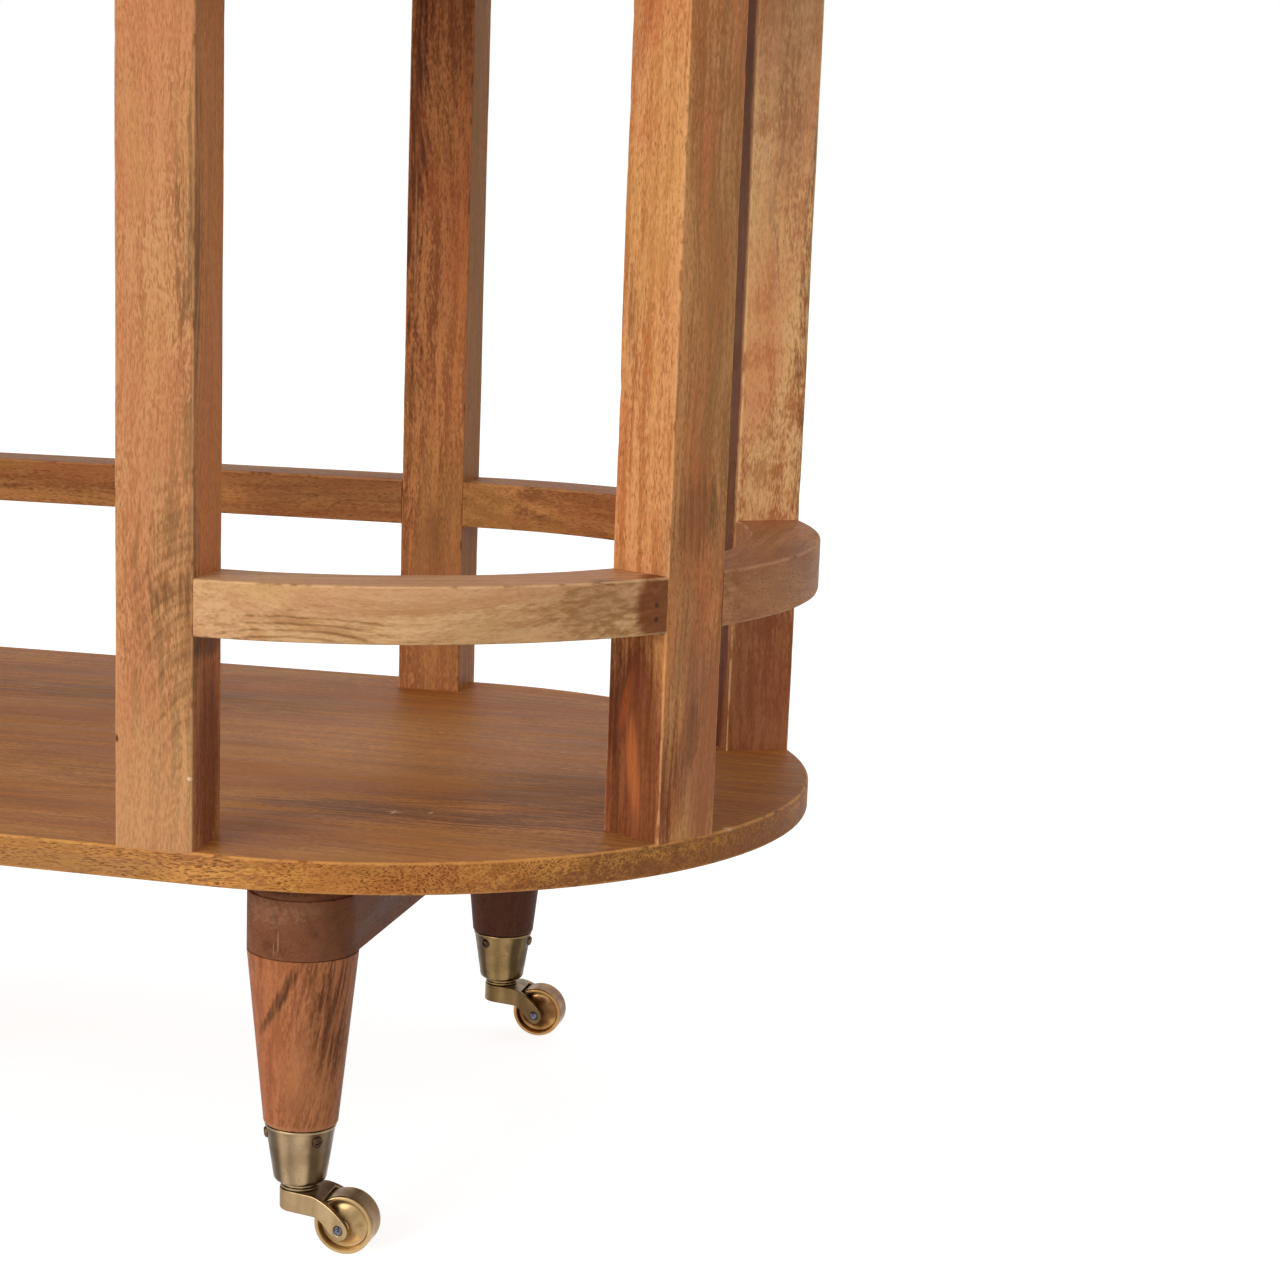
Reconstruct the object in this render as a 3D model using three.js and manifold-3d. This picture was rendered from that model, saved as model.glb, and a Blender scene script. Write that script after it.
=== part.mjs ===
// An oval serving table on brass castors. A thick shelf sits low down on four turned legs,
// eight posts rise from it with curved gallery rails between them, the front is left open,
// and a tray with hand-holds lifts off the top. Millimetres: the origin is on the floor
// under the middle, +X runs along the length, -Y is the open front and +Z is up.

import * as THREE from "three";
import { mergeVertices } from "three/addons/utils/BufferGeometryUtils.js";
import Module from "manifold-3d";

const wasm = await Module();
wasm.setup();

// Overall sizes and the clearances that every joint shares
const overall = { length: 920, depth: 500 };
const fit = 0.3; // gap left between pieces that touch
const overrun = 4; // how far a cutter runs past the face that it cuts
const weld = 0.001; // vertices closer than this are one

// Woodwork
const shelf = { thickness: 16.5, ease: 1.6 };
const post = {
  width: 40.4,
  depth: 38.2,
  height: 480, // above the shelf
  ease: 0.9,
  setback: 26.6, // from the start of the round end to the middle of a front or back post
  housing: 1, // how far the foot is let into the shelf
  tenon: { length: 10, width: 24, depth: 18 },
};
const rail = {
  height: 28.2,
  lift: 106, // clear height under the low rails
  ease: 1.4,
  tenon: { length: 12, thickness: 12, shoulder: 6, root: 3 },
};
const batten = { height: 41.2, width: 57, ease: 1 };
const leg = {
  outboard: 32.3, // from the start of the round end to the leg's axis
  inset: 54.7, // from the shelf's long edge to the leg's axis
  topRadius: 28.5,
  footRadius: 19.3,
  height: 91.8,
  footRound: 1.6,
  tenon: { radius: 13, length: 25 },
};

// Tray
const tray = {
  board: 12,
  ease: 1,
  wall: 14,
  ledge: { width: 6, height: 4 }, // inside the foot of the rim, for the board to lie on
  rimHeight: 56,
  handleHeight: 74,
  handleRun: 170, // width of the raised part of an end
  handleSwell: 70, // width over which it stays at full height
  slot: { width: 104, height: 25, lift: 36 },
  round: 4,
  lift: 0.3,
  cleat: { thickness: 22, width: 45, setback: 20, ease: 1.5, clearance: 1.5 },
};

// Castors, from the floor up
const wheel = {
  radius: 15.6,
  width: 16,
  tread: 13, // flat of the tyre between its rounded edges
  edgeDrop: 0.6,
  rim: 2.2, // thickness of the tyre ring seen at the face
  dishDepth: 3.8,
  dishWidth: 1.6, // flat at the bottom of the dish, between the tyre ring and the hub
  hubRadius: 4.2,
  hubWidth: 22.2,
  bore: 2.75,
};
const axle = { radius: 2.45, proud: 0.4 };
const fork = {
  trail: 26, // from the swivel axis to the axle
  crownRadius: 10.4,
  crownHeight: 11,
  crownRound: 2.6,
  top: 31,
  width: 32, // across the arms at the axle
  arm: 3.4,
  armEnd: 5.2,
  wheelGap: 1.2,
  level: 9.5, // how far the crown's top runs level towards the wheel
  heel: 11.5, // how far its underside does
  rivet: { radius: 3.9, headRadius: 6.4, headHeight: 1.8, headGap: 0.4 },
};
const collar = { radius: 9.9, height: 3 };
const cup = {
  height: 31.2,
  topRadius: 17.9,
  baseRadius: 13.9,
  round: 3.4,
  lip: 0.5,
  lipHeight: 1.8,
  wall: 1.6,
  base: 3.4,
  holeRadius: 4.3,
};

// Angles, shares of the sizes above, and how many facets each curve gets
const halfTurn = Math.PI;
const quarterTurn = halfTurn / 2;
const endPostAngle = THREE.MathUtils.degToRad(31.5); // from the long axis
const armEndAngles = [-110, 20].map(THREE.MathUtils.degToRad); // where the arm's edges meet its round end
const handleShares = { crownTop: 0.27, crownUnder: 0.19, armTop: 0.96, armUnder: 0.65 };
const hubShares = [0.3, 0.68]; // down the hub's flank, from its end to the bottom of the dish
const hubFlareShares = [0.18, 0.56]; // how far out the flank has come at each of those
const cornerShare = 1 - Math.SQRT1_2; // of a quarter round's radius, at its middle
const facets = {
  tableEnd: 14,
  batten: 7,
  slot: 5,
  rail: 8,
  leg: 20,
  castor: 20,
  pin: 12,
  curve: 5,
  corner: 1,
};

// Heights worked out from the stack of pieces
const endRadius = overall.depth / 2;
const straight = overall.length / 2 - endRadius; // from the middle to the start of a round end
const level = {};
level.cup = fork.top + fit + collar.height + fit;
level.legFoot = level.cup + cup.height + fit;
level.legTop = level.legFoot + leg.height;
level.batten = level.legTop + fit;
level.shelf = level.batten + batten.height + fit;
level.shelfTop = level.shelf + shelf.thickness;
level.post = level.shelfTop + fit - post.housing;
level.postTop = level.post + post.housing + post.height;
level.lowRail = level.shelfTop + rail.lift;
level.topRail = level.postTop - rail.height;
level.rim = level.postTop + tray.lift;
level.tray = level.rim + tray.ledge.height + fit;

const finish = {
  shelf: new THREE.MeshStandardMaterial({ color: 0xa9744f, roughness: 0.55, metalness: 0 }),
  post: new THREE.MeshStandardMaterial({ color: 0xb98560, roughness: 0.6, metalness: 0 }),
  rail: new THREE.MeshStandardMaterial({ color: 0xb37a50, roughness: 0.6, metalness: 0 }),
  leg: new THREE.MeshStandardMaterial({ color: 0x9c6340, roughness: 0.55, metalness: 0 }),
  tray: new THREE.MeshStandardMaterial({ color: 0xb07b54, roughness: 0.55, metalness: 0 }),
  brass: new THREE.MeshStandardMaterial({ color: 0xa58a58, roughness: 0.35, metalness: 1 }),
  steel: new THREE.MeshStandardMaterial({ color: 0x75777b, roughness: 0.45, metalness: 1 }),
};

// Solids and meshes

function solidOf(geometry, matrix = new THREE.Matrix4()) {
  const bare = geometry.index ? geometry.toNonIndexed() : geometry.clone();
  bare.deleteAttribute("normal");
  bare.deleteAttribute("uv");
  bare.applyMatrix4(matrix);
  const merged = mergeVertices(bare, weld);
  return new wasm.Manifold(
    new wasm.Mesh({
      numProp: 3,
      vertProperties: merged.attributes.position.array,
      triVerts: new Uint32Array(merged.index.array),
    }),
  );
}

function meshOf(name, solid, material) {
  const made = solid.getMesh();
  const geometry = new THREE.BufferGeometry();
  geometry.setAttribute("position", new THREE.BufferAttribute(made.vertProperties, made.numProp));
  geometry.setIndex(new THREE.BufferAttribute(made.triVerts, 1));
  geometry.computeVertexNormals();
  const mesh = new THREE.Mesh(geometry, material);
  mesh.name = name;
  return mesh;
}

const shifted = (x, y, z) => new THREE.Matrix4().makeTranslation(x, y, z);

// A block between two corners.
function block(low, high, matrix = new THREE.Matrix4()) {
  const size = high.map((value, axis) => value - low[axis]);
  const middle = high.map((value, axis) => (value + low[axis]) / 2);
  return solidOf(new THREE.BoxGeometry(...size), matrix.clone().multiply(shifted(...middle)));
}

// A flat board of a given outline, its edges eased top and bottom.
function board(shape, thickness, ease, steps, matrix = new THREE.Matrix4()) {
  const geometry = new THREE.ExtrudeGeometry(shape, {
    depth: thickness - 2 * ease,
    bevelEnabled: ease > 0,
    bevelThickness: ease,
    bevelSize: ease,
    bevelOffset: -ease,
    bevelSegments: facets.corner,
    curveSegments: steps,
  });
  return solidOf(geometry, matrix.clone().multiply(shifted(0, 0, ease)));
}

// A turned piece about Z from its profile of [radius, height], listed upwards outside.
function turned(profile, segments, matrix = new THREE.Matrix4()) {
  const points = profile.map(([radius, height]) => new THREE.Vector2(radius, height));
  const upright = new THREE.Matrix4().makeRotationX(quarterTurn);
  return solidOf(new THREE.LatheGeometry(points, segments), matrix.clone().multiply(upright));
}

// Two straight sides and two half-round ends, long along X.
function stadium(halfStraight, radius) {
  const shape = new THREE.Shape();
  shape.moveTo(-halfStraight, -radius);
  shape.lineTo(halfStraight, -radius);
  shape.absarc(halfStraight, 0, radius, -quarterTurn, quarterTurn, false);
  shape.lineTo(-halfStraight, radius);
  shape.absarc(-halfStraight, 0, radius, quarterTurn, halfTurn + quarterTurn, false);
  return shape;
}

// Posts: seats on the table's outline, going round anticlockwise from the front right.
// A seat's angle points outwards, and its centre is what the outline turns about there.

const sidePost = straight - post.setback;
const seats = [
  { name: "front_right", centre: sidePost, angle: -quarterTurn },
  { name: "end_right_front", centre: straight, angle: -endPostAngle, round: true },
  { name: "end_right_back", centre: straight, angle: endPostAngle, round: true },
  { name: "back_right", centre: sidePost, angle: quarterTurn },
  { name: "back_left", centre: -sidePost, angle: quarterTurn },
  { name: "end_left_back", centre: -straight, angle: halfTurn - endPostAngle, round: true },
  { name: "end_left_front", centre: -straight, angle: halfTurn + endPostAngle, round: true },
  { name: "front_left", centre: -sidePost, angle: halfTurn + quarterTurn },
];

// From a post's own frame, with +Y outwards and +X clockwise along the outline, to the table's.
// A post on a round end has the two outer corners of its flat face on the outline.
function seatMatrix(seat) {
  const reach = seat.round ? Math.sqrt(endRadius ** 2 - (post.width / 2) ** 2) : endRadius;
  const x = seat.centre + reach * Math.cos(seat.angle);
  const y = reach * Math.sin(seat.angle);
  return shifted(x, y, 0).multiply(new THREE.Matrix4().makeRotationZ(seat.angle - quarterTurn));
}

// The two rails that a post takes on each side: way is -1 towards the next post, 1 towards the last.
function railTenon(way, bottom, slack) {
  const { length, thickness, shoulder, root } = rail.tenon;
  const outer = (way * post.width) / 2;
  const ends = [outer - way * (length + slack), outer + way * (slack > 0 ? overrun : root)];
  return [
    [Math.min(...ends), -(post.depth + thickness) / 2 - slack, bottom + shoulder - slack],
    [Math.max(...ends), -(post.depth - thickness) / 2 + slack, bottom + rail.height - shoulder + slack],
  ];
}

function postTenon(slack) {
  const { length, width, depth } = post.tenon;
  return [
    [-width / 2 - slack, -(post.depth + depth) / 2 - slack, -length - fit - slack],
    [width / 2 + slack, -(post.depth - depth) / 2 + slack, slack > 0 ? overrun : rail.tenon.root],
  ];
}

// The shallow housing that takes a post's foot, open at the shelf's edge.
function postHousing() {
  return [
    [-post.width / 2 - fit, -post.depth - fit, -fit],
    [post.width / 2 + fit, overrun, post.housing + overrun],
  ];
}

function postSolid(lowRailWays) {
  const { width, depth, height, ease, housing } = post;
  const section = new THREE.Shape();
  section.moveTo(-width / 2 + ease, -depth);
  section.lineTo(width / 2 - ease, -depth);
  section.lineTo(width / 2, -depth + ease);
  section.lineTo(width / 2, -ease);
  section.lineTo(width / 2 - ease, 0);
  section.lineTo(-width / 2 + ease, 0);
  section.lineTo(-width / 2, -ease);
  section.lineTo(-width / 2, -depth + ease);
  section.closePath();
  let solid = board(section, height + housing, 0, 1).add(block(...postTenon(0)));
  for (const way of lowRailWays) {
    solid = solid.subtract(block(...railTenon(way, level.lowRail - level.post, fit)));
  }
  for (const way of [-1, 1]) {
    solid = solid.subtract(block(...railTenon(way, level.topRail - level.post, fit)));
  }
  return solid;
}

// Rails: a section carried along the outline, its ends cut to the posts' sides.

// A place on the outline of radius endRadius, with the direction that points outwards.
const place = (centre, angle) => ({
  x: centre + endRadius * Math.cos(angle),
  y: endRadius * Math.sin(angle),
  outX: Math.cos(angle),
  outY: Math.sin(angle),
});

// Places between two seats: straight on along a long side, and stepwise round an end.
function run(from, to, steps) {
  const spread = to.angle - from.angle;
  if (Math.abs(spread) < Number.EPSILON || from.centre * to.centre < 0) {
    return [place(from.centre, to.angle), place(to.centre, to.angle)];
  }
  const hub = Math.sign(from.centre + to.centre) * straight;
  const places = [];
  if (!from.round) places.push(place(from.centre, from.angle));
  for (let step = 0; step <= steps; step += 1) {
    places.push(place(hub, from.angle + (spread * step) / steps));
  }
  if (!to.round) places.push(place(to.centre, to.angle));
  return places;
}

// A bar through the places. The section gives points [inwards, up], anticlockwise when seen
// against the way of travel, and may change from place to place.
function bar(places, sectionAt) {
  const rings = places.map((at) =>
    sectionAt(at).map(([inward, up]) => [at.x - at.outX * inward, at.y - at.outY * inward, up]),
  );
  const size = rings[0].length;
  const triangles = [];
  rings.slice(1).forEach((ring, index) => {
    const last = rings[index];
    for (let k = 0; k < size; k += 1) {
      const next = (k + 1) % size;
      triangles.push(last[k], last[next], ring[next], last[k], ring[next], ring[k]);
    }
  });
  for (let k = 1; k < size - 1; k += 1) {
    const end = rings.at(-1);
    triangles.push(rings[0][0], rings[0][k + 1], rings[0][k], end[0], end[k], end[k + 1]);
  }
  const geometry = new THREE.BufferGeometry();
  geometry.setAttribute("position", new THREE.Float32BufferAttribute(triangles.flat(), 3));
  return solidOf(geometry);
}

function railSection(bottom) {
  const { depth } = post;
  const { height, ease } = rail;
  return [
    [ease, bottom],
    [depth - ease, bottom],
    [depth, bottom + ease],
    [depth, bottom + height - ease],
    [depth - ease, bottom + height],
    [ease, bottom + height],
    [0, bottom + height - ease],
    [0, bottom + ease],
  ];
}

function railSolid(from, to, bottom) {
  const { width, depth } = post;
  const side = width / 2 + fit;
  const clear = [
    [-side, -depth - overrun, bottom - overrun],
    [side, overrun, bottom + rail.height + overrun],
  ];
  const section = railSection(bottom);
  return bar(run(from, to, facets.rail), () => section)
    .subtract(block(...clear, seatMatrix(from)))
    .subtract(block(...clear, seatMatrix(to)))
    .add(block(...railTenon(-1, bottom, 0), seatMatrix(from)))
    .add(block(...railTenon(1, bottom, 0), seatMatrix(to)));
}

// Castors: each builds about its swivel axis, with the floor at zero.

function cupSolid() {
  const { height, topRadius, baseRadius, round, lip, lipHeight, wall, base, holeRadius } = cup;
  const bend = round * cornerShare;
  const outside = [
    [holeRadius, 0],
    [baseRadius - round, 0],
    [baseRadius - bend, bend],
    [baseRadius, round],
    [topRadius, height - lipHeight],
    [topRadius + lip, height - lipHeight / 2],
    [topRadius, height],
  ];
  const inside = [
    [topRadius - wall, height],
    [baseRadius - wall, base],
    [holeRadius, base],
  ];
  return turned([...outside, ...inside, outside[0]], facets.castor);
}

function collarSolid() {
  const { radius, height } = collar;
  const profile = [
    [cup.holeRadius, 0],
    [radius, 0],
    [radius, height],
    [cup.holeRadius, height],
    [cup.holeRadius, 0],
  ];
  return turned(profile, facets.castor);
}

// Where the fork's stem is headed over inside the cup
const rivetSeat = level.cup + cup.base + fork.rivet.headGap;

// From a piece turned about Z to the axle's place in the fork.
const onAxle = new THREE.Matrix4().makeRotationX(quarterTurn).setPosition(fork.trail, 0, wheel.radius);

// The fork's outline from the side: a level crown that bends down to round arm ends.
function forkSide() {
  const { trail, crownRadius, crownHeight, crownRound, top, armEnd, level: flat, heel } = fork;
  const under = top - crownHeight;
  const [startAngle, endAngle] = armEndAngles;
  const start = [trail + armEnd * Math.cos(startAngle), wheel.radius + armEnd * Math.sin(startAngle)];
  const end = [trail + armEnd * Math.cos(endAngle), wheel.radius + armEnd * Math.sin(endAngle)];
  const startPull = armEnd * handleShares.armUnder;
  const endPull = armEnd * handleShares.armTop;
  const shape = new THREE.Shape();
  shape.moveTo(-crownRadius, under + crownRound);
  shape.lineTo(crownRound * cornerShare - crownRadius, under + crownRound * cornerShare);
  shape.lineTo(crownRound - crownRadius, under);
  shape.lineTo(heel, under);
  shape.bezierCurveTo(
    heel + trail * handleShares.crownUnder,
    under,
    start[0] + startPull * Math.sin(startAngle),
    start[1] - startPull * Math.cos(startAngle),
    ...start,
  );
  shape.absarc(trail, wheel.radius, armEnd, startAngle, endAngle, false);
  shape.bezierCurveTo(
    end[0] - endPull * Math.sin(endAngle),
    end[1] + endPull * Math.cos(endAngle),
    flat + trail * handleShares.crownTop,
    top,
    flat,
    top,
  );
  shape.lineTo(-crownRadius, top);
  shape.closePath();
  return shape;
}

// The fork's outline from above: round at the back, its arms' sides tangent to that round and
// spread until they stand a given width apart at the axle.
function forkPlan(radius, halfWidth) {
  const spread = Math.atan2(halfWidth, fork.trail) - Math.asin(radius / Math.hypot(halfWidth, fork.trail));
  const reach = fork.trail + fork.armEnd + overrun;
  const side = (radius + reach * Math.sin(spread)) / Math.cos(spread);
  const shape = new THREE.Shape();
  shape.moveTo(reach, side);
  shape.lineTo(-radius * Math.sin(spread), radius * Math.cos(spread));
  shape.absarc(0, 0, radius, quarterTurn + spread, halfTurn + quarterTurn - spread, false);
  shape.lineTo(reach, -side);
  shape.closePath();
  return shape;
}

function forkSolid() {
  const { crownRadius, top, width, arm, wheelGap, rivet } = fork;
  const across = new THREE.Matrix4().makeRotationX(quarterTurn).setPosition(0, width, 0);
  const body = board(forkSide(), 2 * width, 0, facets.curve, across).intersect(
    board(forkPlan(crownRadius, width / 2), top + overrun, 0, facets.curve),
  );

  // Room for the wheel, following its tyre under the crown
  const gap = board(forkPlan(crownRadius - arm, width / 2 - arm), top + overrun, 0, facets.curve).intersect(
    turned(rod(wheel.radius + wheelGap, width), facets.castor, onAxle),
  );
  const hole = turned(rod(axle.radius + fit, width), facets.pin, onAxle);

  // The stem goes up through the collar and the cup, and is headed over inside
  const root = top - rivet.radius;
  const stemTop = rivetSeat + rivet.headHeight;
  const stem = turned(
    [
      [0, root],
      [rivet.radius, root],
      [rivet.radius, rivetSeat],
      [rivet.headRadius, rivetSeat],
      [rivet.headRadius, stemTop - rivet.headHeight / 2],
      [rivet.radius, stemTop],
      [0, stemTop],
    ],
    facets.pin,
  );
  return body.subtract(gap).subtract(hole).add(stem);
}

// The profile of a plain rod of a given radius, reaching the same way both up and down.
function rod(radius, reach) {
  return [
    [0, -reach],
    [radius, -reach],
    [radius, reach],
    [0, reach],
  ];
}

function axleSolid() {
  const { radius, proud } = axle;
  const reach = fork.width / 2 + proud;
  const profile = [
    [0, -reach],
    [radius - proud, -reach],
    [radius, -reach + proud],
    [radius, reach - proud],
    [radius - proud, reach],
    [0, reach],
  ];
  return turned(profile, facets.pin);
}

// The tyre's flats rest on the floor, so its corners stand a little outside its radius.
function wheelSolid() {
  const { radius, width, tread, edgeDrop, rim, dishDepth, dishWidth, hubRadius, hubWidth, bore } = wheel;
  const tyre = radius / Math.cos(halfTurn / facets.castor);
  const dish = width / 2 - dishDepth;
  const dishOut = radius - rim - dishDepth * cornerShare;
  const dishIn = dishOut - dishWidth;
  const flank = hubShares.map((share, index) => [
    THREE.MathUtils.lerp(hubRadius, dishIn, hubFlareShares[index]),
    THREE.MathUtils.lerp(hubWidth / 2, dish, share),
  ]);
  const half = [
    [bore, hubWidth / 2],
    [hubRadius, hubWidth / 2],
    ...flank,
    [dishIn, dish],
    [dishOut, dish],
    [radius - rim, width / 2],
    [radius - edgeDrop, width / 2],
    [tyre, tread / 2],
  ];
  const far = half.map(([r, y]) => [r, -y]);
  const profile = [...far, ...half.slice().reverse(), far[0]];
  const flatDown = new THREE.Matrix4().makeRotationZ(halfTurn / facets.castor);
  return turned(profile, facets.castor, flatDown);
}

function castor(name, x, y) {
  const group = new THREE.Group();
  group.position.set(x, y, 0);
  const cupMesh = meshOf("castor_cup_" + name, cupSolid(), finish.brass);
  cupMesh.position.z = level.cup;
  const collarMesh = meshOf("castor_collar_" + name, collarSolid(), finish.brass);
  collarMesh.position.z = fork.top + fit;
  const forkMesh = meshOf("castor_fork_" + name, forkSolid(), finish.brass);
  const turning = new THREE.Group();
  turning.applyMatrix4(onAxle);
  turning.add(
    meshOf("castor_axle_" + name, axleSolid(), finish.steel),
    meshOf("castor_wheel_" + name, wheelSolid(), finish.brass),
  );
  group.add(cupMesh, collarMesh, forkMesh, turning);
  return group;
}

// Legs and the battens that carry them

function legSolid() {
  const { topRadius, footRadius, height, footRound, tenon } = leg;
  const footTop = cup.topRadius - cup.wall - fit;
  const footBottom = cup.baseRadius - cup.wall - fit;
  const spigotEnd = rivetSeat + fork.rivet.headHeight + fit - level.legFoot;
  const profile = [
    [0, spigotEnd],
    [footBottom, spigotEnd],
    [footTop, 0],
    [footRadius - footRound, 0],
    [footRadius, footRound],
    [topRadius, height],
    [tenon.radius, height],
    [tenon.radius, height + tenon.length],
    [0, height + tenon.length],
  ];
  return turned(profile, facets.leg);
}

function battenSolid(legY) {
  const acrossTable = new THREE.Matrix4().makeRotationZ(quarterTurn);
  const shape = stadium(legY, batten.width / 2);
  let solid = board(shape, batten.height, batten.ease, facets.batten, acrossTable);
  const socket = [
    [0, -overrun],
    [leg.tenon.radius + fit, -overrun],
    [leg.tenon.radius + fit, leg.tenon.length + fit],
    [0, leg.tenon.length + fit],
  ];
  for (const y of [-legY, legY]) {
    solid = solid.subtract(turned(socket, facets.leg, shifted(0, y, 0)));
  }
  return solid;
}

// Tray: a board that lies on the ledge of a rim in four pieces, and two cleats under it that
// drop inside the top rails

function rimSection(height) {
  const { wall, round, ledge } = tray;
  const bend = round * cornerShare;
  return [
    [0, 0],
    [wall + ledge.width, 0],
    [wall + ledge.width, ledge.height],
    [wall, ledge.height],
    [wall, height - round],
    [wall - bend, height - bend],
    [wall - round, height],
    [round, height],
    [bend, height - bend],
    [0, height - round],
  ];
}

function rimEndSolid() {
  const steps = 2 * facets.tableEnd;
  const places = [];
  for (let step = 0; step <= steps; step += 1) {
    places.push(place(straight, -quarterTurn + (halfTurn * step) / steps));
  }
  const heightAt = (at) => {
    const share = (Math.abs(at.y) - tray.handleSwell / 2) / ((tray.handleRun - tray.handleSwell) / 2);
    const fall = THREE.MathUtils.smootherstep(share, 0, 1);
    return THREE.MathUtils.lerp(tray.handleHeight, tray.rimHeight, fall);
  };
  const { width, height, lift } = tray.slot;
  const hole = stadium((width - height) / 2, height / 2);
  const throughEnd = new THREE.Matrix4()
    .makeRotationZ(quarterTurn)
    .multiply(new THREE.Matrix4().makeRotationX(quarterTurn))
    .setPosition(straight + endRadius - tray.wall * 2 - overrun, 0, lift + height / 2);
  const cutter = board(hole, tray.wall * 3 + overrun, 0, facets.slot, throughEnd);
  const ends = [-1, 1].map((way) =>
    block(
      [straight - overrun, Math.min(way * overall.depth, 0), -overrun],
      [straight + fit / 2, Math.max(way * overall.depth, 0), tray.handleHeight],
    ),
  );
  return bar(places, (at) => rimSection(heightAt(at)))
    .subtract(cutter)
    .subtract(ends[0])
    .subtract(ends[1]);
}

function rimSideSolid() {
  const section = rimSection(tray.rimHeight);
  const reach = straight - fit / 2;
  return bar([place(-reach, -quarterTurn), place(reach, -quarterTurn)], () => section);
}

function cleatSolid(x) {
  const { thickness, width, ease, clearance } = tray.cleat;
  const inner = endRadius - post.depth - clearance;
  const outer = Math.max(x + width / 2 - straight, 0);
  const reach = Math.sqrt(inner ** 2 - outer ** 2);
  const shape = new THREE.Shape();
  shape.moveTo(-width / 2, -reach);
  shape.lineTo(width / 2, -reach);
  shape.lineTo(width / 2, reach);
  shape.lineTo(-width / 2, reach);
  shape.closePath();
  return board(shape, thickness, ease, 1);
}

// The whole table

const table = new THREE.Group();

const legY = endRadius - leg.inset;
const legX = straight + leg.outboard;

const shelfBlank = board(stadium(straight, endRadius), shelf.thickness, shelf.ease, facets.tableEnd);
const mortised = seats.reduce((solid, seat) => {
  const onShelf = shifted(0, 0, shelf.thickness + fit - post.housing).multiply(seatMatrix(seat));
  return solid.subtract(block(...postHousing(), onShelf)).subtract(block(...postTenon(fit), onShelf));
}, shelfBlank);
const shelfMesh = meshOf("shelf", mortised, finish.shelf);
shelfMesh.position.z = level.shelf;
table.add(shelfMesh);

for (const [side, sign] of [["right", 1], ["left", -1]]) {
  const battenMesh = meshOf("batten_" + side, battenSolid(legY), finish.leg);
  battenMesh.position.set(sign * legX, 0, level.batten);
  table.add(battenMesh);
  for (const [end, way] of [["front", -1], ["back", 1]]) {
    const legMesh = meshOf("leg_" + end + "_" + side, legSolid(), finish.leg);
    legMesh.position.set(sign * legX, way * legY, level.legFoot);
    table.add(legMesh, castor(end + "_" + side, sign * legX, way * legY));
  }
}

for (const seat of seats) {
  const lowRailWays = { front_right: [-1], front_left: [1] }[seat.name] ?? [-1, 1];
  const postMesh = meshOf("post_" + seat.name, postSolid(lowRailWays), finish.post);
  const stand = new THREE.Group();
  stand.applyMatrix4(shifted(0, 0, level.post).multiply(seatMatrix(seat)));
  stand.add(postMesh);
  table.add(stand);
}

// Rails, named for the stretch of the outline that each one fills, from one seat to the next
const stretches = ["front_right", "end_right", "back_right", "back", "back_left", "end_left", "front_left"];
stretches.forEach((name, index) => {
  const [from, to] = seats.slice(index);
  table.add(meshOf("low_rail_" + name, railSolid(from, to, level.lowRail), finish.rail));
  table.add(meshOf("top_rail_" + name, railSolid(from, to, level.topRail), finish.rail));
});
const frontSeat = { ...seats[0], angle: seats[0].angle + 2 * halfTurn };
table.add(meshOf("top_rail_front", railSolid(seats.at(-1), frontSeat, level.topRail), finish.rail));

const liftOff = new THREE.Group();
const floorShape = stadium(straight, endRadius - tray.wall - fit);
const trayBoard = board(floorShape, tray.board, tray.ease, facets.tableEnd);
const trayMesh = meshOf("tray_board", trayBoard, finish.tray);
trayMesh.position.z = level.tray;
liftOff.add(trayMesh);
for (const [side, turn] of [["right", 0], ["left", halfTurn]]) {
  const rimEnd = meshOf("tray_end_" + side, rimEndSolid(), finish.tray);
  rimEnd.rotation.z = turn;
  rimEnd.position.z = level.rim;
  const cleatX = sidePost - post.width / 2 - tray.cleat.setback - tray.cleat.width / 2;
  const cleat = meshOf("tray_cleat_" + side, cleatSolid(cleatX), finish.tray);
  cleat.position.set(Math.cos(turn) * cleatX, 0, level.tray - fit - tray.cleat.thickness);
  liftOff.add(rimEnd, cleat);
}
for (const [side, turn] of [["front", 0], ["back", halfTurn]]) {
  const rimSide = meshOf("tray_side_" + side, rimSideSolid(), finish.tray);
  rimSide.rotation.z = turn;
  rimSide.position.z = level.rim;
  liftOff.add(rimSide);
}
table.add(liftOff);

export default table;
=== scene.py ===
"""An oval two-tier serving table in mango wood on brass castors, set up as for a catalogue picture.

Sizes are in millimetres and become metres where a mesh is made. The origin is on the floor under
the middle of the table: +X runs along its length, -Y is the open front and +Z is up.
"""

import logging
import math
from dataclasses import dataclass, field
from enum import Enum

import bmesh
import bpy
from mathutils import Matrix, Vector, noise


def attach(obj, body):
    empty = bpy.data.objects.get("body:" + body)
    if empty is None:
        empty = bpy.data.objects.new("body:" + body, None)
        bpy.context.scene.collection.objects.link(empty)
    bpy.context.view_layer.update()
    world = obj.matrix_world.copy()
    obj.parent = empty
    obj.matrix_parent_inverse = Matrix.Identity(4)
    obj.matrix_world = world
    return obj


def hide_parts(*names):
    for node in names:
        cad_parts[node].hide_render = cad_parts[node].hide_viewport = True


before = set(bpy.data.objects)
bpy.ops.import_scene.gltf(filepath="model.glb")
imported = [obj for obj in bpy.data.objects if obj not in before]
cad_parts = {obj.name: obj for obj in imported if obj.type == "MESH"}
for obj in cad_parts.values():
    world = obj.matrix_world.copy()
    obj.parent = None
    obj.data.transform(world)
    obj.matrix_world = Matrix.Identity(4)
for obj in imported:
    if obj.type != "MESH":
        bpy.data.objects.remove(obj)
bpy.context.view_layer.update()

MM = 0.001
UP = Vector((0.0, 0.0, 1.0))
ALONG = Vector((1.0, 0.0, 0.0))
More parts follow.
